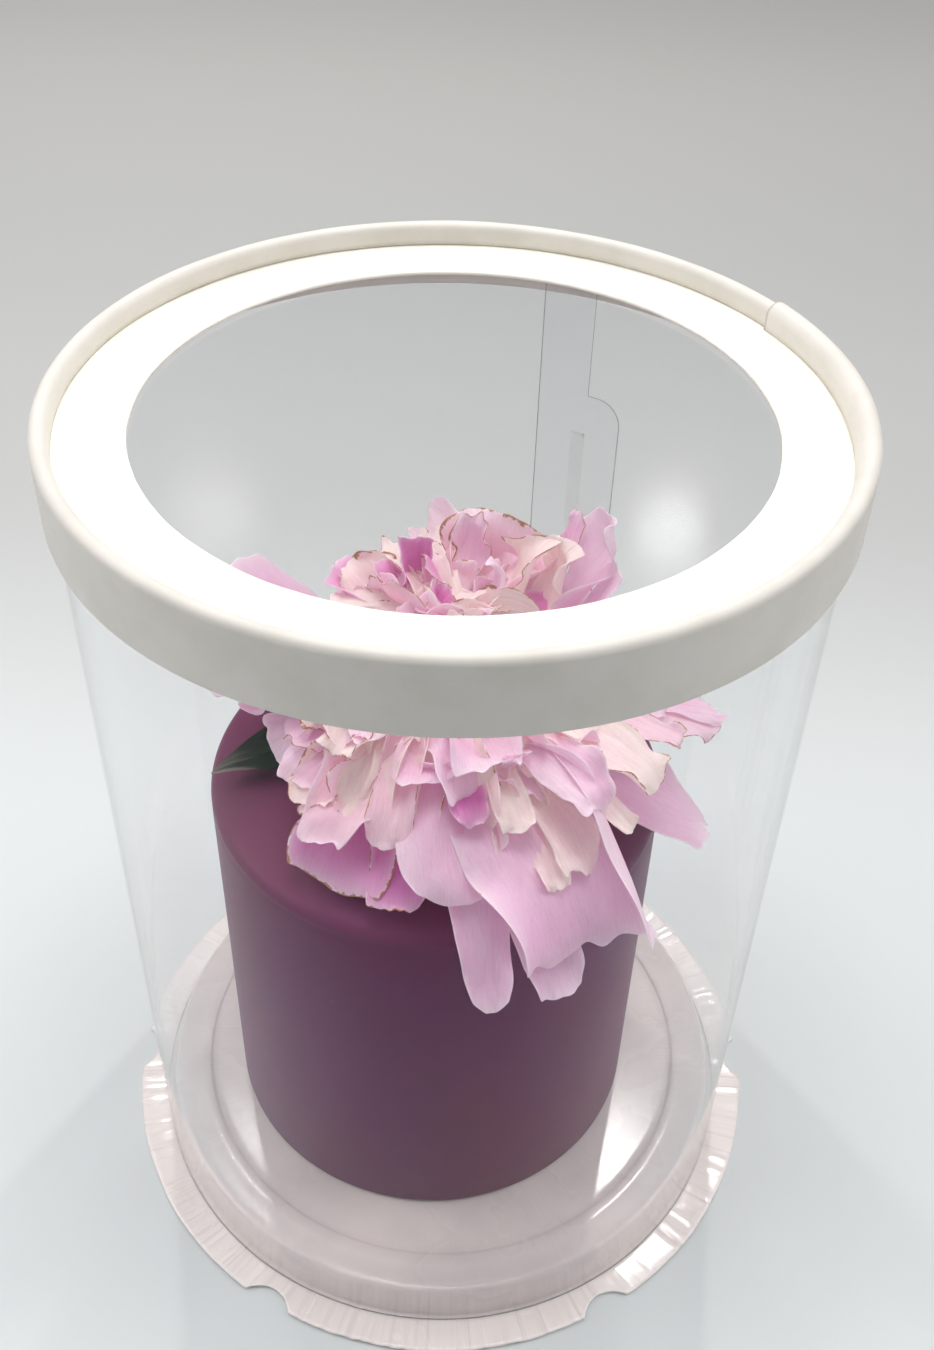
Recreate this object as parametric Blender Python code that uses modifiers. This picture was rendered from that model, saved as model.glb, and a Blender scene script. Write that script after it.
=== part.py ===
"""Round clear flower box holding one peony in a plum vase.

A pressed tray carries a rolled clear tube, and a card lid with a clear window closes the tube.
Inside, a vase stands on the tray with a single peony and a leaf in its mouth.
Metres, +Z up, origin at the centre of the tray's underside.
"""

import math

import bmesh
import bpy

# Whole box
LID_R = 0.110               # outside radius of the lid's side band
BOX_H = 0.300               # from the underside of the tray to the top of the lid's rim
SEGMENTS = 80               # facets round each large turned piece
GAP = 0.0003                # clearance between pieces that touch on the real box

# Tray
FLANGE_R = 0.1178
TRAY_T = 0.0008
STEP_BASE_R = 0.1056        # the raised plug that the tube slips over
STEP_TOP_R = 0.1037
STEP_H = 0.0133
RECESS_R = 0.0926           # the platform drops slightly inside this radius
RECESS_D = 0.0008
NOTCH_COUNT = 6
NOTCH_W = 0.018
NOTCH_D = 0.005

# Tube: one rolled sheet whose two ends overlap
TUBE_R = 0.1073
SHEET_T = 0.0004
LAP_STEP = 0.0009           # how far the inner end lies inside the outer end
OUTER_END_DEG = 58.6        # vertical edge of the sheet's outer end
NARROW_END_DEG = 65.2       # the outer end is cut back to here near the top
INNER_END_DEG = 74.5        # vertical edge of the sheet's inner end
LAP_EASE_DEG = (14.0, 3.0)  # the turn's tail steps inwards between these angles before the overlap
FLAP_TOP_Z = 0.2435
FLAP_CORNER_R = 0.0090      # rounded upper corner of the outer end
SHEET_CELLS = 92
TAPE_DEG = (65.2, 67.8)
TAPE_Z = (0.020, 0.229)
TAPE_T = 0.0001

# Lid
BAND_H = 0.0222
CARD_T = 0.0010
RIM_INNER_R = 0.1049        # inner wall of the rolled rim, above the panel
RIM_D = 0.0072              # depth of the panel below the top of the rim
PANEL_T = 0.0012
WINDOW_R = 0.0862
FILM_T = 0.00025
FILM_R = 0.1040
BEAD_STEPS = 6
BAND_LAP_DEG = (19.0, 30.0) # the strip's end, glued over its start
BAND_LAP_RISE = 0.0003
BAND_LAP_SINK = 0.0005      # how far the end's solid reaches into the strip under it

# Vase, which stands a little off the box's axis
VASE_X = -0.0039
VASE_Y = 0.0033
VASE_R = 0.0737
VASE_WALL = 0.0025
VASE_SHOULDER_Z = 0.1440    # above the vase's own foot
VASE_MOUTH_Z = 0.1605
VASE_MOUTH_R = 0.0400
VASE_LIP = 0.0022

# Flower, measured from the vase's foot
STEM_R = 0.0035
STEM_POINTS = ((0.0140, 0.012), (0.0650, 0.005), (0.1150, 0.001), (0.1545, 0.0))  # height, lean
CALYX_R = 0.0105
CALYX_FOOT_R = 0.0075
CALYX_Z = (0.1550, 0.1580, 0.1645, 0.1700)  # foot, side of the cup, its lower and upper shoulder
RECEPTACLE_R = 0.0070
PETAL_T = 0.0009
PETAL_ROOT_R = 0.0130
CORE_R = 0.0490
CORE_FOOT_Z = 0.1812
CORE_WIDEST_Z = 0.1952
CORE_TOP_Z = 0.2330

# Guard petals: name, direction in degrees, root height, length, width, heading at root and tip, cup
GUARD_PETALS = (
    ("guard_petal_left", 168, 0.1695, 0.094, 0.050, 0, 72, 0.10),
    ("guard_petal_front_left", -133, 0.1695, 0.078, 0.036, 22, -38, 0.12),
    ("guard_petal_front_left_low", -112, 0.1645, 0.078, 0.024, 22, -50, 0.05),
    ("guard_petal_front", -96, 0.1720, 0.078, 0.034, 22, -46, 0.12),
    ("guard_petal_tongue_left", -77, 0.1637, 0.089, 0.027, 22, -60, 0.04),
    ("guard_petal_tongue_right", -57, 0.1620, 0.085, 0.026, 22, -60, 0.04),
    ("guard_petal_broad", -44, 0.1662, 0.090, 0.052, 22, -46, 0.08),
    ("guard_petal_right", -14, 0.1682, 0.086, 0.040, 22, -30, 0.08),
    ("guard_petal_right_upper", 4, 0.1703, 0.086, 0.036, 22, 2, 0.06),
    ("guard_petal_back_right", 49, 0.1730, 0.086, 0.044, 8, 80, 0.10),
    ("guard_petal_back", 89, 0.1700, 0.094, 0.048, 0, 72, 0.10),
    ("guard_petal_back_left", 129, 0.1730, 0.086, 0.044, 8, 80, 0.10),
)

LEAF = (194, 0.1645, 0.066, 0.026, 14, -42, 0.06)


def clear_scene():
    for obj in list(bpy.data.objects):
        bpy.data.objects.remove(obj, do_unlink=True)


def new_collection(name, hidden=False):
    collection = bpy.data.collections.new(name)
    bpy.context.scene.collection.children.link(collection)
    collection.hide_render = hidden
    return collection


def finish(name, color, roughness, metallic=0.0, alpha=1.0):
    material = bpy.data.materials.new(name)
    material.use_nodes = True
    shader = material.node_tree.nodes["Principled BSDF"]
    shader.inputs["Base Color"].default_value = (*color, 1.0)
    shader.inputs["Roughness"].default_value = roughness
    shader.inputs["Metallic"].default_value = metallic
    shader.inputs["Alpha"].default_value = alpha
    return material


def add_object(name, mesh, collection, material=None, parent=None):
    obj = bpy.data.objects.new(name, mesh)
    collection.objects.link(obj)
    obj.parent = parent
    if material:
        mesh.materials.append(material)
    return obj


def add_empty(name, location, collection, parent=None):
    empty = bpy.data.objects.new(name, None)
    empty.location = location
    empty.parent = parent
    collection.objects.link(empty)
    return empty


def rounded(points, radii, steps=4):
    """The polyline with the corners named in radii (index to radius) replaced by short arcs."""
    out = []
    for index, (x, z) in enumerate(points):
        if index not in radii:
            out.append((x, z))
            continue
        ax, az = points[index - 1]
        bx, bz = points[(index + 1) % len(points)]
        to_a = math.hypot(ax - x, az - z)
        to_b = math.hypot(bx - x, bz - z)
        ua = ((ax - x) / to_a, (az - z) / to_a)
        ub = ((bx - x) / to_b, (bz - z) / to_b)
        half = math.acos(max(-1.0, min(1.0, ua[0] * ub[0] + ua[1] * ub[1]))) / 2
        reach = radii[index] / math.tan(half)
        middle = (ua[0] + ub[0], ua[1] + ub[1])
        size = math.hypot(*middle)
        centre_at = radii[index] / math.sin(half)
        cx = x + middle[0] / size * centre_at
        cz = z + middle[1] / size * centre_at
        first = math.atan2(z + ua[1] * reach - cz, x + ua[0] * reach - cx)
        last = math.atan2(z + ub[1] * reach - cz, x + ub[0] * reach - cx)
        turn = (last - first + math.pi) % (2 * math.pi) - math.pi
        for step in range(steps + 1):
            angle = first + turn * step / steps
            out.append((cx + radii[index] * math.cos(angle), cz + radii[index] * math.sin(angle)))
    return out


def turned(name, profile, collection, material, parent, closed, segments=SEGMENTS):
    """A profile of (radius, height) points, outer side running down, swept round +Z."""
    count = len(profile)
    edges = [(i, (i + 1) % count) for i in range(count if closed else count - 1)]
    mesh = bpy.data.meshes.new(name)
    mesh.from_pydata([(r, 0.0, z) for r, z in profile], edges, [])
    obj = add_object(name, mesh, collection, material, parent)
    screw = obj.modifiers.new("Turn", "SCREW")
    screw.axis = "Z"
    screw.steps = segments
    screw.render_steps = segments
    screw.use_merge_vertices = True
    screw.merge_threshold = 0.00001
    screw.use_smooth_shade = True
    return obj


def mapped_grid(name, cells_u, cells_v, place, thickness, collection, material, parent):
    """A grid primitive whose (u, v) in 0..1 are moved by place, then thickened on both sides."""
    mesh = bpy.data.meshes.new(name)
    bm = bmesh.new()
    bmesh.ops.create_grid(bm, x_segments=cells_u, y_segments=cells_v, size=0.5)
    for vertex in bm.verts:
        vertex.co = place(vertex.co.x + 0.5, vertex.co.y + 0.5)
    bm.to_mesh(mesh)
    bm.free()
    obj = add_object(name, mesh, collection, material, parent)
    solidify = obj.modifiers.new("Thickness", "SOLIDIFY")
    solidify.thickness = thickness
    solidify.offset = 0.0
    solidify.use_even_offset = True
    mesh.shade_smooth()
    return obj


def cylinder_mesh(name, radius, depth, segments=32):
    mesh = bpy.data.meshes.new(name)
    bm = bmesh.new()
    bmesh.ops.create_cone(
        bm, cap_ends=True, segments=segments, radius1=radius, radius2=radius, depth=depth
    )
    bm.to_mesh(mesh)
    bm.free()
    return mesh


def boolean(obj, other, operation):
    modifier = obj.modifiers.new(operation.title(), "BOOLEAN")
    modifier.operation = operation
    modifier.solver = "EXACT"
    modifier.object = other


def hide_cutter(obj):
    obj.hide_render = True
    obj.display_type = "WIRE"


def polar(radius, degrees, z):
    angle = math.radians(degrees)
    return (radius * math.cos(angle), radius * math.sin(angle), z)


def base_tray(parts, cutters, material):
    """Pressed tray: a flange on the table and a raised plug with a shallow recess in its top."""
    top = [
        (0.0, STEP_H - RECESS_D),
        (RECESS_R - RECESS_D, STEP_H - RECESS_D),
        (RECESS_R, STEP_H),
        (STEP_TOP_R, STEP_H),
        (STEP_BASE_R, TRAY_T),
        (FLANGE_R, TRAY_T),
    ]
    under = [
        (FLANGE_R, 0.0),
        (STEP_BASE_R - TRAY_T, 0.0),
        (STEP_TOP_R - TRAY_T, STEP_H - TRAY_T),
        (RECESS_R + TRAY_T / 2, STEP_H - TRAY_T),
        (RECESS_R - RECESS_D + TRAY_T / 2, STEP_H - RECESS_D - TRAY_T),
        (0.0, STEP_H - RECESS_D - TRAY_T),
    ]
    profile = rounded(top + under, {3: 0.0022, 8: 0.0014}, steps=3)
    tray = turned("base_tray", profile, parts, material, None, closed=False)
    radius = (NOTCH_W ** 2 / 4 + NOTCH_D ** 2) / (2 * NOTCH_D)
    for index in range(NOTCH_COUNT):
        name = f"notch_cutter_{index + 1}"
        cutter = add_object(name, cylinder_mesh(name, radius, 0.006), cutters)
        cutter.location = polar(FLANGE_R - NOTCH_D + radius, index * 360 / NOTCH_COUNT, 0.0)
        hide_cutter(cutter)
        boolean(tray, cutter, "DIFFERENCE")
    return tray


def sheet_radius(degrees):
    """Middle of the sheet: full radius, easing inwards before the overlap at the end of the turn."""
    ease_from = 360 + OUTER_END_DEG - LAP_EASE_DEG[0]
    ease_to = 360 + OUTER_END_DEG - LAP_EASE_DEG[1]
    inward = min(1.0, max(0.0, (degrees - ease_from) / (ease_to - ease_from)))
    return TUBE_R - SHEET_T / 2 - LAP_STEP * inward


def tube_sheet(parts, cutters, material, parent, height):
    """Clear sheet rolled once round, its ends overlapping at the back.

    The outer end is a flap with a rounded upper corner. Above the flap it is cut back.
    """
    total = 360 + INNER_END_DEG - OUTER_END_DEG

    def place(u, v):
        degrees = OUTER_END_DEG + total * u
        return polar(sheet_radius(degrees), degrees, height * v)

    sheet = mapped_grid("tube_sheet", SHEET_CELLS, 1, place, SHEET_T, parts, material, parent)
    flap_top = FLAP_TOP_Z - parent.location.z
    past = 0.001
    between_layers = TUBE_R - SHEET_T - (LAP_STEP - SHEET_T) / 2
    depth = 2 * SHEET_T + LAP_STEP

    def cut_place(u, v):
        degrees = OUTER_END_DEG - 1 + (NARROW_END_DEG - OUTER_END_DEG + 1) * u
        from_edge = TUBE_R * math.radians(degrees - OUTER_END_DEG)
        share = min(1.0, max(0.0, 1 - from_edge / FLAP_CORNER_R))
        low = flap_top - FLAP_CORNER_R * (1 - math.sqrt(1 - share ** 2))
        return polar(between_layers + depth / 2, degrees, low + (height + past - low) * v)

    cutter = mapped_grid("flap_cutter", 12, 1, cut_place, depth, cutters, None, parent)
    hide_cutter(cutter)
    boolean(sheet, cutter, "DIFFERENCE")
    return sheet


def tube_seam_tape(parts, material, parent):
    """Clear adhesive strip between the two layers of the overlap."""
    radius = TUBE_R - SHEET_T - (LAP_STEP - SHEET_T) / 2
    foot, top = (z - parent.location.z for z in TAPE_Z)

    def place(u, v):
        return polar(radius, TAPE_DEG[0] + (TAPE_DEG[1] - TAPE_DEG[0]) * u, foot + (top - foot) * v)

    return mapped_grid("tube_seam_tape", 3, 1, place, TAPE_T, parts, material, parent)


def bead_arc(radius):
    """Half circle over the rim's bead, from the outside inwards, heights above the lid's foot."""
    bead = (LID_R - RIM_INNER_R) / 2
    angles = [math.pi * step / BEAD_STEPS for step in range(BEAD_STEPS + 1)]
    return [
        (LID_R - bead + radius * math.cos(angle), BAND_H - bead + radius * math.sin(angle))
        for angle in angles
    ]


def lid_side_band(parts, cutters, material, parent):
    """Card strip: side skirt below, rolled over at the top and turned down inside the rim."""
    bead = (LID_R - RIM_INNER_R) / 2
    inner_foot = BAND_H - RIM_D + GAP
    outer = [(LID_R, 0.0)] + bead_arc(bead) + [(RIM_INNER_R, inner_foot)]
    inner = [(LID_R - CARD_T, 0.0)] + bead_arc(bead - CARD_T) + [(RIM_INNER_R + CARD_T, inner_foot)]
    band = turned("lid_side_band", outer[::-1] + inner, parts, material, parent, closed=True)
    middle = (BAND_LAP_RISE - BAND_LAP_SINK) / 2

    def place(u, v):
        index = min(int(u * (len(outer) - 1) + 1e-6), len(outer) - 2)
        share = u * (len(outer) - 1) - index
        r = outer[index][0] + (outer[index + 1][0] - outer[index][0]) * share
        z = outer[index][1] + (outer[index + 1][1] - outer[index][1]) * share
        away_r = r - (LID_R - bead)
        away_z = max(0.0, z - (BAND_H - bead))
        size = math.hypot(away_r, away_z)
        degrees = BAND_LAP_DEG[0] + (BAND_LAP_DEG[1] - BAND_LAP_DEG[0]) * v
        return polar(r + away_r / size * middle, degrees, z + away_z / size * middle)

    thickness = BAND_LAP_RISE + BAND_LAP_SINK
    cells = len(outer) - 1
    lap = mapped_grid("band_lap_end", cells, 3, place, thickness, cutters, None, parent)
    hide_cutter(lap)
    boolean(band, lap, "UNION")
    return band


def lid_top_ring(parts, material, parent):
    """Flat card ring that closes the lid below its rim, open at the window."""
    top = BAND_H - RIM_D
    outer = LID_R - CARD_T - GAP
    profile = [(WINDOW_R, top), (outer, top), (outer, top - PANEL_T), (WINDOW_R, top - PANEL_T)]
    return turned("lid_top_ring", profile, parts, material, parent, closed=True)


def lid_window_film(parts, material, parent):
    """Clear disc glued under the card ring."""
    film = add_object("lid_window_film", cylinder_mesh("film", FILM_R, FILM_T, SEGMENTS), parts,
                      material, parent)
    film.location.z = BAND_H - RIM_D - PANEL_T - GAP - FILM_T / 2
    return film


def vase_body(parts, material, parent):
    """Straight vase with a shallow sloping shoulder and an open mouth with a small lip."""
    inside = [
        (0.0, VASE_WALL),
        (VASE_R - VASE_WALL, VASE_WALL),
        (VASE_R - VASE_WALL, VASE_SHOULDER_Z - VASE_WALL),
        (VASE_MOUTH_R, VASE_MOUTH_Z - VASE_WALL),
        (VASE_MOUTH_R, VASE_MOUTH_Z + VASE_LIP),
    ]
    outside = [
        (VASE_MOUTH_R + VASE_LIP, VASE_MOUTH_Z + VASE_LIP),
        (VASE_MOUTH_R + VASE_LIP, VASE_MOUTH_Z),
        (VASE_R, VASE_SHOULDER_Z),
        (VASE_R, 0.0),
        (0.0, 0.0),
    ]
    corners = {1: 0.0030, 2: 0.0030, 4: 0.0008, 5: 0.0008, 7: 0.0060, 8: 0.0020}
    return turned("vase_body", rounded(inside + outside, corners, steps=3), parts, material, parent,
                  closed=False, segments=64)


def flower_stem(parts, material, parent):
    """Straight green stem from near the vase's floor up to the calyx."""
    curve = bpy.data.curves.new("flower_stem", "CURVE")
    curve.dimensions = "3D"
    curve.bevel_depth = STEM_R
    curve.bevel_resolution = 2
    curve.use_fill_caps = True
    spline = curve.splines.new("POLY")
    spline.points.add(len(STEM_POINTS) - 1)
    for point, (height, lean) in zip(spline.points, STEM_POINTS):
        point.co = (lean, lean * 0.6, height, 1.0)
    curve.materials.append(material)
    stem = bpy.data.objects.new("flower_stem", curve)
    stem.parent = parent
    parts.objects.link(stem)
    return stem


def flower_calyx(parts, material, parent):
    """Green cup of sepals under the petals, with the receptacle they grow from."""
    foot, side, shoulder, top = CALYX_Z
    profile = [
        (0.0, CORE_FOOT_Z - GAP),
        (RECEPTACLE_R, CORE_FOOT_Z - GAP),
        (CALYX_R, top),
        (CALYX_R, shoulder),
        (CALYX_FOOT_R, side),
        (0.0, foot),
    ]
    return turned("flower_calyx", profile, parts, material, parent, closed=False, segments=24)


def flower_core(parts, material, parent):
    """Envelope of the crowded inner petals, a domed tuft above the guard petals."""
    steps = 9
    profile = []
    for step in range(steps + 1):
        angle = math.pi / 2 * (1 - step / steps)
        z = CORE_WIDEST_Z + (CORE_TOP_Z - CORE_WIDEST_Z) * math.sin(angle)
        profile.append((CORE_R * math.cos(angle) if step else 0.0, z))
    profile.append((CORE_R * 0.80, CORE_FOOT_Z + (CORE_WIDEST_Z - CORE_FOOT_Z) * 0.20))
    profile.append((CORE_R * 0.55, CORE_FOOT_Z))
    profile.append((0.0, CORE_FOOT_Z))
    return turned("flower_core", profile, parts, material, parent, closed=False, segments=36)


def petal_width(t, width):
    """Half width along a petal: narrow claw, broad blade, rounded tip."""
    claw = 0.20 + 0.80 * math.sin(math.pi / 2 * min(1.0, t / 0.62)) ** 1.5
    tip = math.sqrt(max(0.0, 1 - max(0.0, (t - 0.62) / 0.40) ** 2.4))
    return width / 2 * claw * tip


def leaf_width(t, width):
    """Half width along a leaf: pointed at both ends."""
    return width / 2 * (0.16 + 0.84 * math.sin(math.pi * t ** 0.8)) * (1 - 0.7 * t ** 6)


def blade(name, row, half_width, cells, parts, material, parent):
    """A petal or leaf: it leaves the flower's axis along a bending line and cups across it."""
    direction, root_z, length, width, root_heading, tip_heading, cup = row
    first = math.radians(root_heading)
    bend = math.radians(tip_heading - root_heading)

    def place(u, v):
        heading = first + bend * u
        out = PETAL_ROOT_R + length / bend * (math.sin(heading) - math.sin(first))
        up = root_z - length / bend * (math.cos(heading) - math.cos(first))
        across = (2 * v - 1) * half_width(u, width)
        lift = cup * across * across / (width / 2) * u
        out -= lift * math.sin(heading)
        up += lift * math.cos(heading)
        spin = math.radians(direction)
        return (
            out * math.cos(spin) - across * math.sin(spin),
            out * math.sin(spin) + across * math.cos(spin),
            up,
        )

    return mapped_grid(name, cells, 6, place, PETAL_T, parts, material, parent)


def build():
    clear_scene()
    parts = new_collection("clear_round_flower_box")
    cutters = new_collection("cutters", hidden=True)
    pearl = finish("pearl_card", (0.72, 0.66, 0.64), 0.30)
    clear = finish("clear_sheet", (0.93, 0.95, 0.96), 0.05, alpha=0.25)
    white = finish("white_card", (0.86, 0.84, 0.81), 0.55)
    plum = finish("plum_satin", (0.12, 0.05, 0.09), 0.42)
    pink = finish("pink_petal", (0.80, 0.50, 0.66), 0.60)
    cream = finish("cream_petal", (0.86, 0.66, 0.66), 0.60)
    green = finish("dark_green", (0.03, 0.07, 0.04), 0.45)

    base_tray(parts, cutters, pearl)

    tube = add_empty("tube_origin", (0.0, 0.0, TRAY_T + GAP), parts)
    lid_foot = BOX_H - BAND_H
    panel_under = BOX_H - RIM_D - PANEL_T - FILM_T - GAP
    tube_sheet(parts, cutters, clear, tube, panel_under - GAP - tube.location.z)
    tube_seam_tape(parts, clear, tube)

    lid = add_empty("lid_origin", (0.0, 0.0, lid_foot - tube.location.z), parts, tube)
    lid_side_band(parts, cutters, white, lid)
    lid_top_ring(parts, white, lid)
    lid_window_film(parts, clear, lid)

    vase = add_empty("vase_origin", (VASE_X, VASE_Y, STEP_H - RECESS_D + GAP), parts)
    vase_body(parts, plum, vase)

    flower = add_empty("flower_origin", (0.0, 0.0, 0.0), parts, vase)
    flower_stem(parts, green, flower)
    flower_calyx(parts, green, flower)
    flower_core(parts, cream, flower)
    for name, *row in GUARD_PETALS:
        blade(name, row, petal_width, 7, parts, pink, flower)
    blade("leaf_left", LEAF, leaf_width, 7, parts, green, flower)


build()
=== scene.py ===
import math

import bmesh
import bpy
import numpy as np
from mathutils import Matrix, Vector


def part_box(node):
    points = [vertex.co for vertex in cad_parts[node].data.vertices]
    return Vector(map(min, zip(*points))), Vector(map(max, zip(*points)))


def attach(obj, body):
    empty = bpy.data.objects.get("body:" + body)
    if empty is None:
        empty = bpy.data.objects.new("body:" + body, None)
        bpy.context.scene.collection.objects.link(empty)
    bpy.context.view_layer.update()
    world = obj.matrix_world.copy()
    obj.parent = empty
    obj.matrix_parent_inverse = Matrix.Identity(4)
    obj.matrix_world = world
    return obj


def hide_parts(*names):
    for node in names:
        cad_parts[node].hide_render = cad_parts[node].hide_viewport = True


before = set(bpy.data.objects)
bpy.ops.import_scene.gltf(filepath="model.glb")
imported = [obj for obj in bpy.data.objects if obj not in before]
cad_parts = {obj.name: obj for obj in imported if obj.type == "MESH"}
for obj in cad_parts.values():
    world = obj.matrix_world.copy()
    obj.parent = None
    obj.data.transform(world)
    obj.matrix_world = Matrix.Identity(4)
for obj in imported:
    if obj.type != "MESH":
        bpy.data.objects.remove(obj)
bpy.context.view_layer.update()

# ---------------------------------------------------------------- sizes read from the frame


def box_of(node):
    low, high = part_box(node)
    return np.array(low), np.array(high)


TRAY_LOW, TRAY_HIGH = box_of("base_tray")
TUBE_LOW, TUBE_HIGH = box_of("tube_sheet")
TAPE_LOW, TAPE_HIGH = box_of("tube_seam_tape")
BAND_LOW, BAND_HIGH = box_of("lid_side_band")
RING_LOW, RING_HIGH = box_of("lid_top_ring")
FILM_LOW, FILM_HIGH = box_of("lid_window_film")
VASE_LOW, VASE_HIGH = box_of("vase_body")
CALYX_LOW, CALYX_HIGH = box_of("flower_calyx")
STEM_FOOT = box_of("flower_stem")[0][2]

MM = 0.001
CARD_T = 1.0 * MM
GAP = 0.3 * MM                      # clearance between the lid's pieces
RIM_W = 5.1 * MM                    # width of the lid's rolled rim
WINDOW_SHARE = 0.7836               # window's radius as a share of the lid's
LID_R = (RING_HIGH[0] - RING_LOW[0]) / 2 + CARD_T + GAP
LID_TOP = BAND_HIGH[2] - GAP
BAND_FOOT = BAND_LOW[2]
RING_TOP = RING_HIGH[2]
RING_UNDER = RING_LOW[2]
RIM_INNER_R = LID_R - RIM_W
WINDOW_R = WINDOW_SHARE * LID_R
TUBE_R = (TUBE_HIGH[1] - TUBE_LOW[1]) / 2
TUBE_FOOT = TUBE_LOW[2]
TUBE_TOP = TUBE_HIGH[2]
FLANGE_R = (TRAY_HIGH[1] - TRAY_LOW[1]) / 2
STEP_H = TRAY_HIGH[2]
STEP_BASE_R = TUBE_R - 1.7 * MM     # the tray's plug leans in from here
STEP_TOP_R = TUBE_R - 3.6 * MM      # to here
RECESS_R = 0.863 * TUBE_R           # edge of the plug's recess
VASE_AXIS = (VASE_LOW + VASE_HIGH) / 2
VASE_R = (VASE_HIGH[0] - VASE_LOW[0]) / 2
VASE_FOOT = VASE_LOW[2]
VASE_TOP = VASE_HIGH[2]
SHOULDER_Z = VASE_FOOT + 0.1440     # where the vase's side turns in to its shoulder
ROOT_Z = VASE_FOOT + 0.1695         # where the petals spring from

# ---------------------------------------------------------------- mesh helpers


def loft(name, points, wrap_rows=False, wrap_columns=False, weld=0.0):
    """A mesh from a (rows, columns, 3) array of points, joined into quads."""
    rows, columns = points.shape[:2]
    index = np.arange(rows * columns).reshape(rows, columns)
    if wrap_rows:
        index = np.vstack([index, index[:1]])
    if wrap_columns:
        index = np.hstack([index, index[:, :1]])
    corners = (index[:-1, :-1], index[1:, :-1], index[1:, 1:], index[:-1, 1:])
    faces = np.stack([corner.ravel() for corner in corners], axis=1)
    mesh = bpy.data.meshes.new(name)
    mesh.from_pydata(points.reshape(-1, 3).tolist(), [], faces.tolist())
    if weld:
        bm = bmesh.new()
        bm.from_mesh(mesh)
        bmesh.ops.remove_doubles(bm, verts=bm.verts, dist=weld)
        bm.to_mesh(mesh)
        bm.free()
    mesh.shade_smooth()
    return mesh


def piece(name, mesh, body, material, nodes):
    """An object that rides on a body, stands in for these nodes and has this material slot."""
    obj = bpy.data.objects.new(name, mesh)
    bpy.context.scene.collection.objects.link(obj)
    mesh.materials.append(material)
    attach(obj, body)
    if nodes:
        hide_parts(*nodes)
    return obj


def thicken(obj, thickness, offset=0.0):
    modifier = obj.modifiers.new("Thickness", "SOLIDIFY")
    modifier.thickness = thickness
    modifier.offset = offset
    modifier.use_even_offset = False


def smooth_once(obj):
    modifier = obj.modifiers.new("Smooth", "SUBSURF")
    modifier.levels = modifier.render_levels = 1


def outward(mesh):
    bm = bmesh.new()
    bm.from_mesh(mesh)
    bmesh.ops.recalc_face_normals(bm, faces=bm.faces)
    bm.to_mesh(mesh)
    bm.free()
    mesh.shade_smooth()
    return mesh


def arc(centre, radius, first_deg, last_deg, steps):
    """Points of a circular arc in the (radius, height) plane."""
    angles = np.radians(np.linspace(first_deg, last_deg, steps))
    return [(centre[0] + radius * math.cos(a), centre[1] + radius * math.sin(a)) for a in angles]


def densify(profile, longest):
    """Adds points so that no stretch of the profile is longer than the given length."""
    out = [profile[0]]
    for a, b in zip(profile, profile[1:]):
        cells = max(1, int(math.ceil(math.hypot(b[0] - a[0], b[1] - a[1]) / longest)))
        for k in range(1, cells + 1):
            share = k / cells
            out.append((a[0] + (b[0] - a[0]) * share, a[1] + (b[1] - a[1]) * share))
    return np.array(out)


def turned(profile, angles, change, centre):
    """Sweeps a profile round +Z, where change moves the (radius, height) arrays at each angle."""
    r, a = np.meshgrid(profile[:, 0], angles, indexing="ij")
    z = np.repeat(profile[:, 1][:, None], len(angles), axis=1)
    r, z = change(r, z, a)
    return np.stack([centre[0] + r * np.cos(a), centre[1] + r * np.sin(a), z], axis=-1)


def circle(count):
    return np.linspace(0, 2 * math.pi, count, endpoint=False)


def turned_piece(name, profile, angles, body, material, node, change, centre=(0.0, 0.0),
                 closed=False):
    """A piece turned from a profile, which either is a closed loop or ends on the axis twice."""
    points = turned(profile, angles, change, centre)
    weld = 0.0 if closed else 1e-6
    mesh = loft(name, points, wrap_rows=closed, wrap_columns=True, weld=weld)
    return piece(name, outward(mesh), body, material, [node])


def waves(x, seed, octaves, base, closed=False):
    """Smooth repeatable noise, about -1 to 1, from a few sines with seeded phases. Where closed, x
    is an angle and every sine makes whole waves round the circle."""
    rng = np.random.default_rng(seed)
    total = np.zeros_like(np.asarray(x, float))
    for octave in range(octaves):
        frequency = base * 2 ** octave * rng.uniform(0.8, 1.25)
        if closed:
            frequency = max(1, round(frequency))
        total = total + np.sin(frequency * x + rng.uniform(0, 6.28)) * 0.62 ** octave
    return total / 1.9


def round_waves(angles, seed, octaves, base):
    return waves(angles, seed, octaves, base, closed=True)


def unit(x):
    return np.clip(x, 0, 1)


def field(x, y, seed, base):
    """Smooth repeatable noise over a plane, about -1 to 1, from sines in seeded directions."""
    rng = np.random.default_rng(seed)
    total = np.zeros_like(x)
    for turn in range(7):
        heading = math.pi * (turn + rng.uniform(0, 1)) / 7
        frequency = base * rng.uniform(0.65, 1.35)
        wave = x * math.cos(heading) + y * math.sin(heading)
        total = total + np.sin(frequency * wave + rng.uniform(0, 6.28))
    return total / 2.6


# ---------------------------------------------------------------- material helpers


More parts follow.
